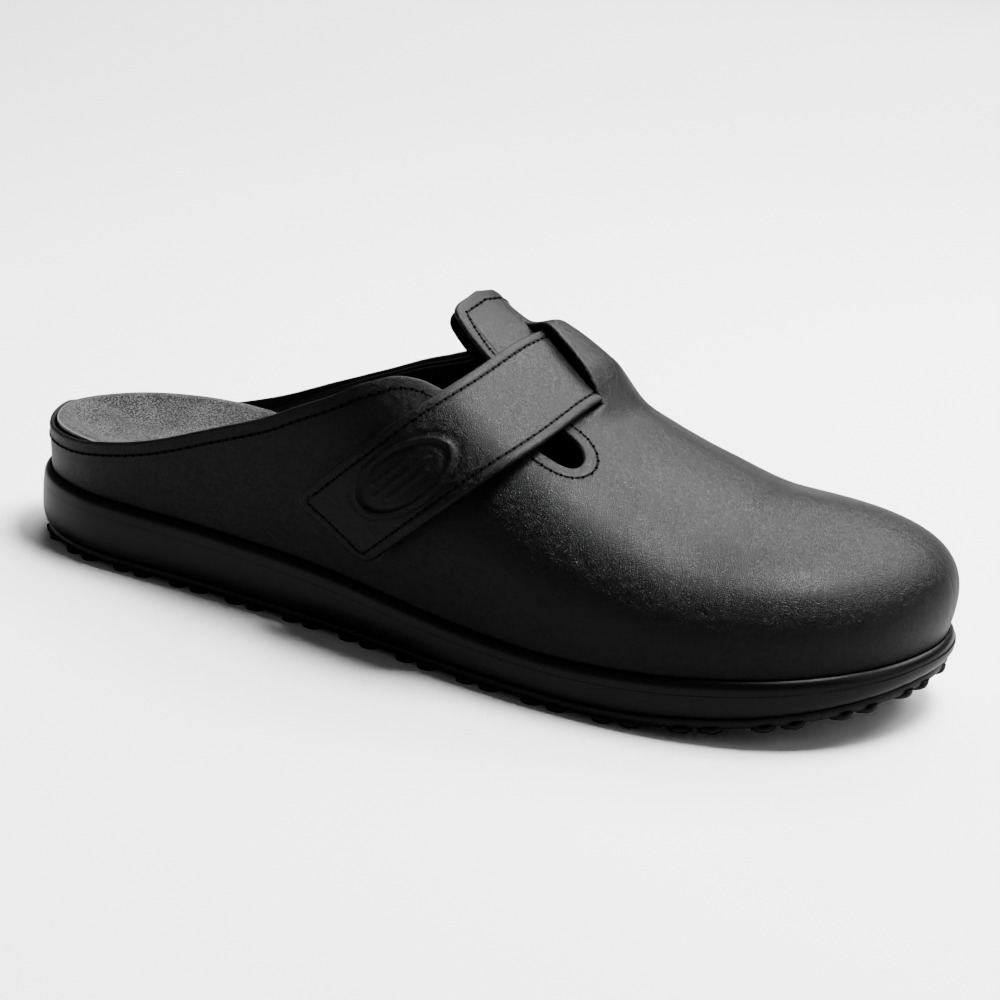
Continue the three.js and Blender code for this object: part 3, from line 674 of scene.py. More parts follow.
TOPLINE_SEAM = 3.0
STRAP_SEAM = 2.3
LEATHER = leather_material("smooth_leather", TOPLINE_SEAM)
STRAP_LEATHER = leather_material("strap_leather", STRAP_SEAM)
LINING = woven_material("black_lining", 0.0025, 0.0009)
LOOP = woven_material("loop_pile", 0.004, 0.0006)
HOOK = woven_material("hook_weave", 0.003, 0.0005)
SUEDE = suede_material()
# Name, colour, roughness, specular level, waves of noise to the metre, depth of the bump, change of shade.
RUBBER, TREAD, PADDING, THREAD, HOLE_SHADE, CORK, BOARD, STIFFENER = (plain_material(*row) for row in (
    ("sole_rubber", grey(0.0011), 0.33, 0.11, 900.0, 0.00003),
    ("tread_rubber", grey(0.0014), 0.45, 0.12, 700.0, 0.00006),
    ("interlining_foam", grey(0.002), 0.9, 0.03, 1500.0, 0.0001),
    ("black_thread", grey(0.0012), 0.6, 0.04, 4000.0, 0.00005),
    # Painted shade: the needle holes are near-black matt blobs that stand in for the shade inside each hole.
    ("needle_hole_shade", grey(0.0003), 1.0, 0.0, 4000.0, 0.00001),
    ("cork", (0.28, 0.17, 0.08), 0.9, 0.2, 350.0, 0.0004, 0.45),
    ("insole_fibreboard", (0.30, 0.24, 0.15), 0.85, 0.2, 600.0, 0.0001),
    ("toe_stiffener", (0.35, 0.32, 0.26), 0.8, 0.2, 500.0, 0.0001),
))

# ---------------------------------------------------------------- the upper's grid
SKIRT = 0.02
SKIRT_DROP = 100.0
DENSE_X = (96.0, 214.0)
DENSE_WAYS = (0.45, 1.3)
HEEL_SPAN = (95, 50)


def even_ways(fine, coarse):
    """Ways for the grid's rows, spaced by length along the arc over the strap's crossing: fine over the
    strap and the opening's front, coarse elsewhere."""
    dense = np.linspace(0, 2, 4001)
    path = surface(angle_at(STRAP_X), dense)
    step = np.linalg.norm(np.diff(path, axis=0), axis=1)
    inside = (dense[:-1] > DENSE_WAYS[0]) & (dense[:-1] < DENSE_WAYS[1])
    count = np.r_[0, np.cumsum(step / np.where(inside, fine, coarse))]
    rows = np.interp(np.linspace(0, count[-1], int(count[-1]) + 1), count, dense)
    return np.r_[-SKIRT, rows, 2 + SKIRT]


def even_angles(fine, coarse):
    """Angles for the grid's columns: fine over the strap and the opening's front, coarse elsewhere."""
    low, high = angle_at(np.array(DENSE_X))
    parts = [np.linspace(a, b, int((b - a) / s) + 2)[:-1] for a, b, s in
             ((0, low, coarse), (low, high, fine), (high, np.pi, coarse))]
    return np.concatenate(parts + [[np.pi]])


BATCH = 400
NEAR_EDGE = 9.0
COARSE_EDGE = 10
SNAP_SHARE = 0.3


def nearest_sample(points, samples):
    """Distance from each point to the nearest of the samples, and that sample's number, a batch of points
    at a time."""
    away, nearest = np.zeros(len(points)), np.zeros(len(points), int)
    for start in range(0, len(points), BATCH):
        part = slice(start, start + BATCH)
        gap = ((points[part, None, :] - samples[None, :, :]) ** 2).sum(-1)
        nearest[part] = gap.argmin(1)
        away[part] = np.sqrt(gap.min(1))
    return away, nearest


def in_opening(angle, way, edge_angle, edge_way):
    """Whether places lie inside the opening: a line toward the toe crosses its outline an odd number of
    times. The outline is closed behind the heel."""
    x0, y0 = np.r_[-1, edge_angle, -1], np.r_[edge_way[0], edge_way, edge_way[-1]]
    x1, y1 = np.roll(x0, -1), np.roll(y0, -1)
    inside = np.zeros(len(angle), bool)
    for start in range(0, len(angle), BATCH):
        part = slice(start, start + BATCH)
        px, py = angle[part, None], way[part, None]
        straddles = (y0 > py) != (y1 > py)
        crossing = x0 + (py - y0) * (x1 - x0) / np.where(y1 == y0, 1, y1 - y0)
        inside[part] = (straddles & (px < crossing)).sum(1) % 2 == 1
    return inside


def upper_grid(fine, coarse, fine_angle, coarse_angle):
    """Angles, ways and signed distances to the opening's edge over the upper, with its triangles. Distances
    are negative inside the opening, and exact only near its edge. Points close to the edge are moved on to
    it, unless the near edge is the one across the heel."""
    ways, angles = even_ways(fine, coarse), even_angles(fine_angle, coarse_angle)
    way, angle = (v.reshape(-1) for v in np.meshgrid(ways, angles, indexing="ij"))
    faces = grid_faces(len(ways), len(angles))[:, ::-1]
    edge_angle, edge_way = opening_edge()
    points, edge_points = surface(angle, way), surface(edge_angle, edge_way)
    away, nearest = nearest_sample(points, edge_points[::COARSE_EDGE])
    close = away < NEAR_EDGE
    away[close], nearest[close] = nearest_sample(points[close], edge_points)
    away = np.where(in_opening(angle, way, edge_angle[::3], edge_way[::3]), -away, away)
    snap = (np.abs(away) < SNAP_SHARE * fine) & (np.abs(edge_way[nearest] - way) < 0.5)
    angle = np.where(snap, edge_angle[nearest], angle)
    way = np.where(snap, edge_way[nearest], way)
    away = np.where(snap, 0.0, away)
    return np.stack([angle, way, away], 1), faces


def skin_points(values, depth, lifted=FLAT):
    """Points of the upper at a depth. Past the foot of the form the sheet drops straight into the sole."""
    angle, way = values[:, 0], values[:, 1]
    drop = np.maximum(np.maximum(-way, way - 2), 0)
    points = surface(angle, way, depth, lifted)
    points[:, 2] -= drop * SKIRT_DROP
    return points


def skin_piece(name, grid, depth, thick, shift, material_used, split=False, tab_extra=0.0,
               tab_deeper=0.0, heel_shift=0.0):
    """A layer of the upper: the grid, cut back by shift from the opening's edge, laid at a depth and given
    thickness. With split, the leather behind the slit is raised to let the strap pass. Tab_extra is
    thickness added on the tab, tab_deeper depth added there, and heel_shift a lower edge round the heel."""
    values, faces = grid
    round_heel = smooth(*HEEL_SPAN, x_at(values[:, 0]))
    values, faces, _ = clip(values, faces, values[:, 2] - shift - heel_shift * round_heel)
    if split:
        side = slit_side(surface(values[:, 0], values[:, 1]))
        parts = []
        for sign, part in ((-1, FRONT), (1, BACK)):
            half, half_faces, _ = clip(values, faces, sign * side)
            parts.append((half, half_faces, skin_points(half, depth, part)))
        values = np.vstack([parts[0][0], parts[1][0]])
        points = np.vstack([parts[0][2], parts[1][2]])
        faces = np.vstack([parts[0][1], parts[1][1] + len(parts[0][0])])
    else:
        points = skin_points(values, depth + tab_deeper * tab_mask(values))
    points, faces, first = welded(points, faces)
    values = values[first]
    body, triangles, quads, rim = shell(points, faces, thick + tab_extra * tab_mask(values))
    edge = np.zeros(len(body))
    edge[:2 * len(points)] = np.tile(values[:, 2], 2)
    return make(name, body, triangles, material_used, quads=quads, attributes={"edge": edge, "rim": rim})


def tab_mask(values):
    """1 on the padded tab, fading over the vamp: three S-shaped cubics multiplied."""
    x, way = x_at(values[:, 0]), values[:, 1]
    return smooth(195, 165, x) * smooth(0.70, 0.80, way) * smooth(1.32, 1.2, way)


GRID = upper_grid(fine=1.15, coarse=2.2, fine_angle=0.0080, coarse_angle=0.021)
COARSE_GRID = upper_grid(fine=1.8, coarse=3.2, fine_angle=0.013, coarse_angle=0.03)
LEATHER_THICK = 1.7
upper = skin_piece("upper_leather_skin", GRID, 0.0, LEATHER_THICK, 0.0, LEATHER, split=True)
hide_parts("upper_leather")
TAB_PADDING = 2.6
HEEL_SHIFT = 3.2
interlining = skin_piece("tab_padding", COARSE_GRID, LEATHER_THICK + 0.1, 1.3, 0.15, PADDING,
                         tab_extra=TAB_PADDING, heel_shift=HEEL_SHIFT)
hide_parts("upper_interlining")
LINING_DEPTH = 3.2
LINING_THICK = 0.8
lining = skin_piece("upper_lining_skin", COARSE_GRID, LINING_DEPTH, LINING_THICK, 0.3, LINING,
                    tab_deeper=TAB_PADDING, heel_shift=HEEL_SHIFT)
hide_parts("upper_lining")

# ---------------------------------------------------------------- sole and footbed
RIM_STEPS = 220


def rim_sides(inset):
    """The outer and the inner side of the rim at an inset, each from the heel to the toe at even angles."""
    angle = np.linspace(0, np.pi, RIM_STEPS + 1)
    return inset_point(OUTER, angle, inset), inset_point(INNER, angle, inset)


def rim_loop(inset):
    """A flat ring inset from the rim, counter-clockwise from the heel."""
    outer, inner = rim_sides(inset)
    return np.vstack([outer, inner[-2:0:-1]])


def raised(flat, height):
    """Flat points lifted to a height that is a function of x and y."""
    return np.column_stack([flat, height(flat[:, 0], flat[:, 1])])


def cap_grid(inset, height, cross=40):
    """A rim-shaped face: straight lines from the outer side to the inner one, with points spaced by the
    cosine, crowded near both."""
    outer, inner = (side[:, None] for side in rim_sides(inset))
    part = ((1 - np.cos(np.linspace(0, np.pi, cross + 1))) / 2)[None, :, None]
    flat = (outer + (inner - outer) * part).reshape(-1, 2)
    return raised(flat, height), grid_faces(RIM_STEPS + 1, cross + 1)


def of_x(function, shift=0.0):
    """A function of x and y made from one of x, with a shift."""
    return lambda x, y: function(x) + shift


def loft(section):
    """A closed body from a section, which lists insets from the rim and heights as functions of x and y: a
    ring for each, stacked, with a cap below the first and one above the last."""
    rings = np.array([raised(rim_loop(inset), height) for inset, height in section])
    count, size = rings.shape[:2]
    (low, low_faces), (high, high_faces) = cap_grid(*section[0]), cap_grid(*section[-1])
    points = np.vstack([rings.reshape(-1, 3), low, high])
    base = count * size
    faces = np.vstack([tube_faces(count, size), low_faces[:, ::-1] + base, high_faces + base + len(low)])
    return welded(points, faces)[:2]


CUP_LIFT = 4.3
CUP_DEPTH = 5.4


# Section of the cup: inset from the rim, share of the height from the bottom to the lip, and a drop in mm.
CUP_SECTION = open_curve([
    (2.6, 0, 0), (1.7, 0.0, -0.05), (1.0, 0.03, 0), (0.4, 0.10, 0), (-0.2, 0.25, 0), (-0.35, 0.38, 0),
    (-0.3, 0.52, 0), (-0.12, 1, -4.4), (-0.03, 1, -3.1), (0.08, 1, -2.2), (0.3, 1, -1.45), (0.65, 1, -0.85),
    (1.1, 1, -0.4), (1.5, 1, -0.12), (1.82, 1, -0.05), (2.05, 1, -0.3), (2.18, 1, -1.2), (2.2, 1, -5.3),
], 66)


def cup_height(share, drop):
    """Height as a function of x and y: a share of the way from the cup's bottom to its lip, less a drop."""
    def height(x):
        """The bottom's height, and the share of what is left up to the lip."""
        bottom = spring(x) + CUP_LIFT
        return bottom + (lip(x) - bottom) * share + drop

    return of_x(height)


cup = make("cup_sole_body", *loft([(inset, cup_height(share, drop)) for inset, share, drop in CUP_SECTION]),
           RUBBER)
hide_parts("cup_sole")

TREAD_INSET = 1.7
LUG_HEIGHT = 1.4
LUG_PITCH = 20.5
LUG_OFFSET = 7.6
LUG_HALF = 3.0
PLATE = 2.6
PLATE_SECTION = [(0.3, 0.0), (0, 0.3), (0, PLATE - 0.2), (0.2, PLATE)]
LUG_SIDES = 28
LUG_LAYERS = [(0.86, 0.0), (0.95, 0.15), (1.0, 0.55), (1.06, LUG_HEIGHT + 0.4)]
LUG_OUT = 0.5
BAR_HALF = 3.5
BAR_PITCH = 14
BAR_X = (36.0, LENGTH - 30)
BAR_INSET = 16.0


def lug_shape(half_x, half_y, power):
    """One lug: a superellipse prism, whose layers of outline widen upward from a rounded lower edge, closed
    by a point at the middle of each end."""
    turn = np.linspace(0, 2 * np.pi, LUG_SIDES, endpoint=False)
    out = np.stack([np.sign(v) * np.abs(v) ** (2 / power) for v in (np.cos(turn), np.sin(turn))], 1)
    layers = [np.column_stack([out * (half_x * share, half_y * share), np.full(LUG_SIDES, z)])
              for share, z in LUG_LAYERS]
    points = np.vstack([*layers, (0, 0, 0), (0, 0, LUG_LAYERS[-1][1])])
    return points, closed_tube_faces(len(layers), LUG_SIDES)


def copied_faces(faces, size, copies):
    """The triangles of many copies of a shape of size points."""
    return (faces[None] + (np.arange(copies) * size)[:, None, None]).reshape(-1, 3)


def scattered(shape, faces, at, stretch=1.0):
    """Copies of a lug at many places as one mesh, each stretched along y and lifted by the toe spring."""
    points = np.repeat(shape[None], len(at), axis=0)
    points[..., 1] *= np.reshape(stretch, (-1, 1))
    points[..., :2] += at[:, None]
    points[..., 2] += spring(points[..., 0])
    return points.reshape(-1, 3), copied_faces(faces, len(shape), len(at))


def lug_ring():
    """Round lugs in pairs at even lengths along the rim, just past the plate's edge."""
    loop = rim_loop(TREAD_INSET + LUG_HALF - LUG_OUT)
    loop = np.vstack([loop, loop[:1]])
    length = lengths(loop)
    count = int(length[-1] // LUG_PITCH)
    want = (np.arange(count)[:, None] * length[-1] / count + np.array([[0.0, LUG_OFFSET]])).reshape(-1)
    return scattered(*lug_shape(LUG_HALF, LUG_HALF, 2.4), sampled(want, length, loop))


def lug_bars():
    """Bars across the middle of the tread, each as long as the sole is wide there, less an inset."""
    x = np.arange(*BAR_X, BAR_PITCH)
    low, high = (inset_point(side, angle_at(x), BAR_INSET)[:, 1] for side in (OUTER, INNER))
    return scattered(*lug_shape(BAR_HALF, 1.0, 5.0), np.stack([x, (low + high) / 2], 1), (high - low) / 2)


def joined(*parts):
    """Several meshes as one."""
    starts = np.cumsum([0] + [len(points) for points, _ in parts[:-1]])
    return (np.vstack([points for points, _ in parts]),
            np.vstack([faces + start for (_, faces), start in zip(parts, starts)]))


plate = loft([(TREAD_INSET + inset, of_x(spring, LUG_HEIGHT + up)) for inset, up in PLATE_SECTION])
tread = make("tread_with_lugs", *joined(plate, lug_ring(), lug_bars()), TREAD)
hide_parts("tread_outsole")

bed_middle = heights([(0, 30), (0.12, 29.3), (0.4, 26.8), (0.68, 21), (1, 25.6)])
bed_rim = heights([(0, 7.0), (0.2, 8.2), (0.3, 6.8), (0.45, 2.6), (0.62, 0.9), (1, 0.6)])
BED_INSET = 6.8
CUP_ROLL = 24.0


BED_ANGLES = np.linspace(0, np.pi, 721)
BED_EDGES = [inset_point(side, BED_ANGLES, BED_INSET) for side in (OUTER, INNER)]


def bed_top(x, y):
    """Height of the footbed: a middle line, and near the edge a parabola that curls it up."""
    low, high = (np.interp(x, edge[:, 0], edge[:, 1]) for edge in BED_EDGES)
    aside = np.minimum(y - low, high - y)
    away = np.clip(np.minimum(np.minimum(aside, x - BED_INSET), LENGTH - BED_INSET - x) / CUP_ROLL, 0, 1)
    return bed_middle(x) + bed_rim(x) * (1 - away) ** 2


COVER = 1.2
HEEL_SPREAD = 2.5
HEEL_SPREAD_SPAN = (85, 40)
cover_x = x_at(np.linspace(0, np.pi, RIM_STEPS + 1))
cover_inset = BED_INSET - HEEL_SPREAD * smooth(*HEEL_SPREAD_SPAN, cover_x)
bed_points, bed_faces, _ = welded(*cap_grid(cover_inset, bed_top, cross=70))
cover_points, cover_triangles, cover_quads, cover_rim = shell(bed_points, bed_faces, COVER, squareness=0.7)
cover = make("suede_cover", cover_points, cover_triangles, SUEDE, quads=cover_quads,
             attributes={"rim": cover_rim})
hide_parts("footbed_cover")

LAYER_GAP = 0.3
LASTED_FLANGE = 1.7
BOARD_THICK = 1.5
BED_LOW = -CUP_DEPTH + LASTED_FLANGE + BOARD_THICK + 3 * LAYER_GAP
CORE_GAP = 0.1


def core_height(part):
    """Height as a function of x and y: a part of the way from the core's underside to its top, just below
    the cover."""
    def height(x, y):
        """The underside's height, and the part of what is left up to the top."""
        low = lip(x) + BED_LOW
        return low + (bed_top(x, y) - COVER - CORE_GAP - low) * part

    return height


core = make("cork_footbed", *loft([(BED_INSET, core_height(part)) for part in np.linspace(0, 1, 5)]), CORK)
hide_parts("footbed_core")

STRIP_INSET = 6.1
STRIP_THICK = 0.55
STRIP_TALL = 5.5
STRIP_REACH = 78.0
STRIP_GAP = 0.15


# A black sheet that darkens the gap under the cover's overhang at the heel, in place of the cork's side.
def heel_dark_strip():
    """A black strip round the heel end of the footbed, under the cover's overhang, that keeps the gap there
    dark where the cork's side would show: rows at even drops below the cover, along an inset of the rim."""
    loop = rim_loop(STRIP_INSET)
    near = int((loop[:RIM_STEPS, 0] < STRIP_REACH).sum())
    line = np.vstack([loop[-near:], loop[:near + 1]])
    top = bed_top(line[:, 0], line[:, 1]) - COVER - STRIP_GAP
    rows = [np.column_stack([line, top - STRIP_TALL * part]) for part in (1.0, 0.67, 0.33, 0.0)]
    faces = grid_faces(len(rows), len(line))
    points = np.vstack(rows)
    outward = line[near] - line.mean(0)
    if point_normals(points, faces)[near, :2] @ outward < 0:
        faces = faces[:, ::-1]
    return shell(points, faces, STRIP_THICK)[:3]


strip_points, strip_triangles, strip_quads = heel_dark_strip()
heel_strip = make("footbed_heel_dark_strip", strip_points, strip_triangles, LINING, quads=strip_quads)

# ---------------------------------------------------------------- strap
STRAP_DRIFT = 4.6
CORNER = 4.0
FREE_WAY = (0.107, 0.06)
FREE_MIDDLE = sum(FREE_WAY) / 2
SEWN_WAY = 1.25
TAPE_LIFT = 2.2
BRIDGE_DIP = 1.4
STRAP_SAMPLES = 241


def strap_angle(way, across):
    """Angle at which the strap's path meets a way, across millimetres from its middle: the strap keeps to a
    leaning plane, found by halving an interval."""
    plane = STRAP_PLANE + STRAP_DRIFT * (1 - smooth(0.45, 1, way)) + across
    low, high = np.full(way.shape, 0.25 * np.pi), np.full(way.shape, 0.9 * np.pi)
    for _ in range(26):
        middle = (low + high) / 2
        point = surface(middle, way)
        under = LEAN[0] * point[..., 0] - LEAN[1] * point[..., 2] < plane
        low, high = np.where(under, middle, low), np.where(under, high, middle)
    return (low + high) / 2


def strap_frame(along, across):
    """Point on the upper, its normal, and the way, at a distance along the strap from its free end."""
    along, across = np.broadcast_arrays(np.asarray(along, float), np.asarray(across, float))
    start = FREE_WAY[0] + (FREE_WAY[1] - FREE_WAY[0]) * (across / STRAP_WIDTH + 0.5)
    way = start + (SEWN_WAY - start) * np.interp(along, STRAP_LENGTHS, STRAP_SHARES)
    angle = strap_angle(way, across)
    normal = tangents(angle, way)[2]
    return surface(angle, way), normal, way


STRAP_SHARES = np.linspace(0, 1, STRAP_SAMPLES)
middle_way = FREE_MIDDLE + (SEWN_WAY - FREE_MIDDLE) * STRAP_SHARES
STRAP_LENGTHS = lengths(surface(strap_angle(middle_way, 0.0), middle_way))
STRAP_LENGTH = STRAP_LENGTHS[-1]


def raised_by(base, way):
    """Offset of a layer: over the tapes at the free end, and down under the bridge."""
    return base + TAPE_LIFT * (1 - smooth(0.45, 0.75, way)) - BRIDGE_DIP * smooth(0.98, 1.12, way)


def strap_edge(along, across):
    """Distance to the strap's outline, whose free end has round corners."""
    side = STRAP_WIDTH / 2 - np.abs(across)
    corner = np.hypot(np.minimum(side - CORNER, 0), np.minimum(along - CORNER, 0))
    round_part = CORNER - corner
    return np.where((side < CORNER) & (along < CORNER), round_part, np.minimum(side, along))


MARK_AT = float(np.interp(0.27, middle_way, STRAP_LENGTHS)) + 2.4
MARK_HALF = (14.3, 7.9)


def mound(away, width):
    """A bell curve: the exponential of minus the square of a distance over a width."""
    return np.exp(-(away / width) ** 2)


def mark_height(along, across):
    """A pressed mark: a raised oval line in a shallow groove, with a plain lens of three bars inside, all
    with bell-shaped sections."""
    u, v = (along - MARK_AT) / MARK_HALF[0], across / MARK_HALF[1]
    away = (np.hypot(u, v) - 1) * MARK_HALF[1]
    line = 0.62 * mound(away, 0.38) - 0.22 * mound(np.abs(away) - 1.1, 0.5)
    bars = np.zeros(np.shape(u))
    for shift in (-0.34, 0.0, 0.34):
        half = 0.62 - 0.5 * abs(shift)
        gap = np.hypot(np.maximum(np.abs(u) - half, 0) * MARK_HALF[0], (v - shift) * MARK_HALF[1])
        bars = bars + 0.45 * mound(gap, 0.5)
    return line + bars


def strap_relief(along, across):
    """Height added to the strap's face: a rolled border, a groove under the stitches, and the mark."""
    edge = strap_edge(along, across)
    roll = 0.14 * np.sin(np.pi * np.clip(edge / 2.0, 0, 1)) ** 0.7
    return roll - 0.10 * mound(edge - STRAP_SEAM, 0.45) + mark_height(along, across)


def strap_grid(step, inset):
    """Distances along and across for a grid over the strap, drawn in by inset, with its rounded end. Rows
    are even, but for those over the corners, which follow the cosine; columns are shares of the width."""
    rows = int((STRAP_LENGTH - inset) / step) + 1
    near = inset + CORNER * (1 - np.cos(np.linspace(0, np.pi / 2, 9)))
    along = np.r_[near[:-1], np.linspace(near[-1], STRAP_LENGTH, rows)]
    columns = int(STRAP_WIDTH / step)
    cross = np.linspace(-1, 1, columns + 1)
    short = np.clip(CORNER - (along - inset), 0, CORNER)
    half = STRAP_WIDTH / 2 - inset - (CORNER - np.sqrt(CORNER ** 2 - short ** 2))
    return np.broadcast_to(along[:, None], (len(along), columns + 1)), half[:, None] * cross[None, :]


def strap_layer(name, step, inset, top, thick, material_used, relief=False):
    """A layer of the strap: its grid laid on the upper, lifted along the normals by the layer's offset and,
    for the face, by the relief, and given thickness."""
    along, across = strap_grid(step, inset)
    at, normal, way = strap_frame(along, across)
    high = raised_by(top, way)
    if relief:
        high = high + strap_relief(along, across)
    points = (at + normal * high[..., None]).reshape(-1, 3)
    faces = grid_faces(*along.shape)
    if (point_normals(points, faces) * normal.reshape(-1, 3)).sum() < 0:
        faces = faces[:, ::-1]
    body, triangles, quads, _ = shell(points, faces, thick)
    edge = np.zeros(len(body))
    edge[:along.size] = strap_edge(along, across).reshape(-1)
    return make(name, body, triangles, material_used, body=None, quads=quads, attributes={"edge": edge})


def slit_crossing(across, inward):
    """Distance along the strap at which it passes a line parallel to the slit, inward of it."""
    along = np.linspace(0, STRAP_LENGTH, 400)
    return float(np.interp(inward, slit_side(strap_frame(along, across)[0]), along))


hinge_at = strap_frame(slit_crossing(0.0, -4.0), 0.0)[0]
INWARD = np.append(SLIT_IN, 0)
BEND = (tuple(place(hinge_at + INWARD * 3.5)), tuple(place(hinge_at - INWARD * 7)))


def bending(piece):
    """Bakes a piece's placement into its points."""
    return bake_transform(piece)


STRAP_TOP = 3.0
strap = bending(strap_layer("strap_leather_skin", 0.42, 0.0, STRAP_TOP, 1.5, STRAP_LEATHER, relief=True))
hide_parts("strap_tip_leather", "strap_base_leather")
backing = bending(strap_layer("strap_backing_skin", 1.2, 0.25, 1.35, 0.95, LINING))
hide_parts("strap_tip_backing", "strap_base_backing")


# ---------------------------------------------------------------- stitches
HEADING_STEP = 0.3
THREAD_SIDES = 6
THREAD_RADIUS = 0.25
STITCH_SHARE = 0.70
HOLE_LENGTH = 0.95
HOLE_RADIUS = 0.52
HOLE_SINK = 0.12
TOPLINE_PITCH = 3.0
STRAP_PITCH = 2.7
TAB_SEAM = 1.7


def even_line(points, pitch):
    """Places every pitch along a line of points, with the heading there, by central differences, and the
    place as a number between the points'."""
    length = lengths(points)
    count = max(2, int(round(length[-1] / pitch)))
    want = (np.arange(count) + 0.5) * length[-1] / count
    index = np.interp(want, length, np.arange(len(points)))
    heading = sampled(want + HEADING_STEP, length, points) - sampled(want - HEADING_STEP, length, points)
    return sampled(want, length, points), unit(heading), index


def threads(at, heading, normal, length, radius, bow=0.16, sink=0.05):
    """Short threads: a tube round a parabola that dips at both ends, closed by a point at each. The tube's
    rings shrink as the square root of one minus the fourth power of the place along it."""
    side = unit(np.cross(normal, heading))
    up = np.cross(heading, side)
    place_along = np.array([-0.9, -0.6, 0.0, 0.6, 0.9])
    turn = np.linspace(0, 2 * np.pi, THREAD_SIDES, endpoint=False)
    size = radius * np.sqrt(1 - place_along ** 4)
    rise = bow * (1 - 2 * place_along ** 2) - sink
    ring = (at[:, None, None] + heading[:, None, None] * (place_along * length / 2)[None, :, None, None]
            + up[:, None, None] * (rise[:, None] + size[:, None] * np.sin(turn))[None, :, :, None]
            + side[:, None, None] * (size[:, None] * np.cos(turn))[None, :, :, None])
    ends = [at + heading * s * length / 2 - up * (bow + sink) for s in (-1, 1)]
    points = np.concatenate([ring.reshape(len(at), -1, 3), ends[0][:, None], ends[1][:, None]], 1)
    faces = closed_tube_faces(len(place_along), THREAD_SIDES)
    return points.reshape(-1, 3), copied_faces(faces, points.shape[1], len(at))


def seam_pieces(name, path, normals, pitch, body, holes=True):
    """A row of stitches along a path, and between them dark matt blobs at the needle holes: painted shade for
    the holes.
    """
    at, heading, index = even_line(path, pitch)
    normal = unit(sampled(index, np.arange(len(path)), normals))
    stitches = threads(at, heading, normal, pitch * STITCH_SHARE, THREAD_RADIUS)
    made = [make(name, *stitches, THREAD, body=body)]
    if holes:
        # Painted shade: a dark matt blob at each needle hole, where the thread dips in.
        between = at + heading * pitch / 2 - normal * HOLE_SINK
        hole_shade = threads(between, heading, normal, HOLE_LENGTH, HOLE_RADIUS, bow=0.0, sink=0.0)
        made.append(make(name + "_hole_shade", *hole_shade, HOLE_SHADE, body=body))
    return made


def topline_path(depth):
    """The opening's edge moved outward to the seam, less far along the tab's side, with outward normals
    there. The change between the two distances is averaged over 41 samples."""
    angle, way = opening_edge()
    x = x_at(angle)
    on_tab_side = smooth(196, 188, x) * smooth(148, 156, x) * (way > 0.76) * (way < 0.95)
    reach = TOPLINE_SEAM + (TAB_SEAM - TOPLINE_SEAM) * on_tab_side
    reach = np.convolve(np.pad(reach, 20, mode="edge"), np.ones(41) / 41, mode="valid")
    angle, way = shifted(angle, way, reach)
    return surface(angle, way, depth), tangents(angle, way)[2]


top_path, top_normals = topline_path(0.0)
seam_pieces("topline_stitches", top_path, top_normals, TOPLINE_PITCH, "shoe")
inner_path, inner_normals = topline_path(LINING_DEPTH + LINING_THICK)
seam_pieces("topline_stitches_inside", inner_path, -inner_normals, TOPLINE_PITCH, "shoe", holes=False)


def strap_seam_path(inset):
    """Distances along and across of the strap's inner border: down one side from past the slit, a quarter
    round at the free end's corner, and half of the way across, then the same mirrored."""
    half = STRAP_WIDTH / 2 - inset
    radius = CORNER - inset
    turn = np.linspace(0, np.pi / 2, 12)
    corner = np.stack([inset + radius * (1 - np.sin(turn)), half - radius * (1 - np.cos(turn))], 1)
    far = slit_crossing(0.0, SEAM_PAST_SLIT)
    side = np.stack([np.linspace(far, inset + radius, 300)[:-1], np.full(299, half)], 1)
    across = np.stack([np.full(40, inset), np.linspace(half - radius, 0, 41, endpoint=False)[1:]], 1)
    one_half = np.vstack([side, corner, across])
    return np.vstack([one_half, (one_half * (1, -1))[::-1]])


SEAM_PAST_SLIT = 6.0
SEAM_SINK = 0.2
seam_flat = strap_seam_path(STRAP_SEAM)
seam_at, seam_normal, seam_way = strap_frame(seam_flat[:, 0], seam_flat[:, 1])
seam_path = seam_at + seam_normal * (raised_by(STRAP_TOP, seam_way) - SEAM_SINK)[:, None]
for piece in seam_pieces("strap_stitches", seam_path, seam_normal, STRAP_PITCH, None):
    bending(piece)

# ---------------------------------------------------------------- pieces kept from the frame
KEPT = {
    "insole_board": BOARD, "toe_puff": STIFFENER, "loop_tape": LOOP, "hook_tape": HOOK,
    "strap_anchor_patch": LINING,
}
for kept_name, kept_material in KEPT.items():
    kept = bpy.data.objects[kept_name]
    kept.data.materials.clear()
    kept.data.materials.append(kept_material)

# ---------------------------------------------------------------- floor, lights and camera
floor_mesh = bpy.data.meshes.new("floor")
floor_mesh.from_pydata([(-4, -4, 0), (4, -4, 0), (4, 4, 0), (-4, 4, 0)], [], [(0, 1, 2, 3)])
floor = add_object("floor", floor_mesh)


def floor_material():
    """A pale matt floor that shows darker in reflections, as if black cards stood round the object."""
    made, tree, _ = material("pale_floor")
    glossy = node(tree, "ShaderNodeLightPath").outputs["Is Glossy Ray"]
    return surfaced(made, mixed(tree, glossy, (*grey(0.93), 1), (*grey(0.3), 1)), 0.9, 0.0)


floor_mesh.materials.append(floor_material())


def turned_to(made, at, right, up, back):
    """Puts an object at a place with its x, y and z along three directions."""
    made.matrix_world = Matrix.Translation(at) @ Matrix(np.column_stack([right, up, back])).to_4x4()


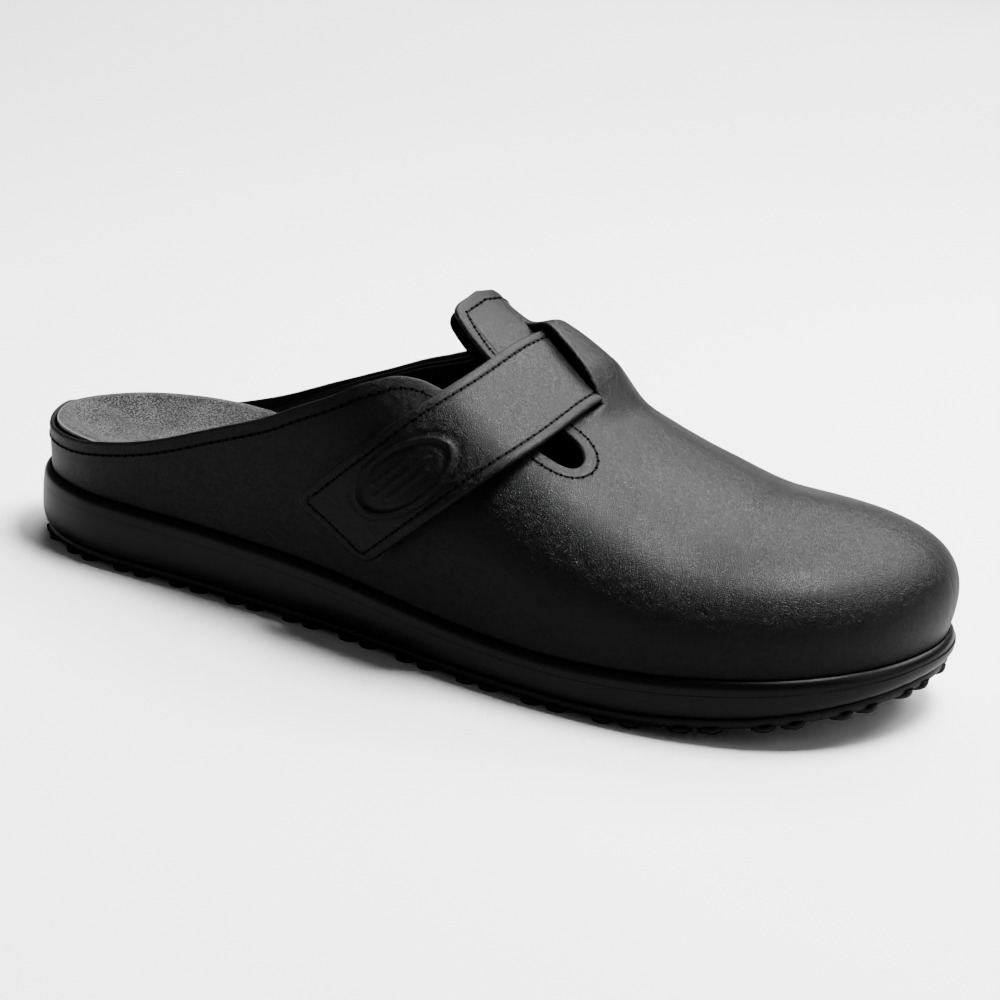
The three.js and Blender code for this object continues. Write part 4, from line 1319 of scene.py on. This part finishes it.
def softbox(name, at, aim, size, power):
    """An area light at a place, turned so that it shines at aim."""
    light = bpy.data.lights.new(name, "AREA")
    light.shape = "RECTANGLE"
    light.size, light.size_y = size
    light.energy = power
    lamp = add_object(name, light)
    away = unit(np.array(at, float) - np.array(aim, float))
    side = unit(np.cross((0, 0, 1), away))
    turned_to(lamp, at, side, np.cross(away, side), away)
    return lamp


world = bpy.data.worlds.new("studio")
bpy.context.scene.world = world
world.use_nodes = True
world.node_tree.nodes["Background"].inputs["Color"].default_value = (1, 1, 1, 1)
world.node_tree.nodes["Background"].inputs["Strength"].default_value = 0.08
lamps = [
    softbox("back_softbox", (0.30, 0.70, 0.85), (0.03, 0, 0.05), (1.2, 0.6), 13),
    softbox("top_softbox", (0.25, 0.17, 1.0), (0.03, 0, 0.05), (0.45, 0.35), 44),
    softbox("right_softbox", (1.0, 0.1, 0.5), (0.08, 0, 0.05), (0.5, 0.7), 2),
    softbox("backdrop_light", (0.0, 2.0, 1.8), (0.0, 2.3, 0.0), (3.0, 2.0), 230),
]

CAMERA_AZIMUTH, CAMERA_ELEVATION, CAMERA_ROLL = (math.radians(v) for v in (26.11, 17.53, 4.30))
CAMERA_AIM = np.array([4.95, 15.68, 30.71]) * MM
CAMERA_DISTANCE = 0.6397


def turned_by(angle, start, toward):
    """A direction turned from start toward another by an angle: the cosine of one plus the sine of the
    other."""
    return math.cos(angle) * start + math.sin(angle) * toward


camera_data = bpy.data.cameras.new("camera")
camera_data.lens, camera_data.sensor_width = 78.34, 36.0
camera_data.clip_start, camera_data.clip_end = 0.01, 50
camera = add_object("camera", camera_data)
level_right = turned_by(CAMERA_AZIMUTH, np.array([1.0, 0, 0]), np.array([0, 1.0, 0]))
back = turned_by(CAMERA_ELEVATION, np.cross(level_right, (0, 0, 1)), np.array([0, 0, 1.0]))
level_up = np.cross(back, level_right)
turned_to(camera, CAMERA_AIM + back * CAMERA_DISTANCE, turned_by(CAMERA_ROLL, level_right, level_up),
          turned_by(CAMERA_ROLL, level_up, -level_right), back)
bpy.context.scene.camera = camera
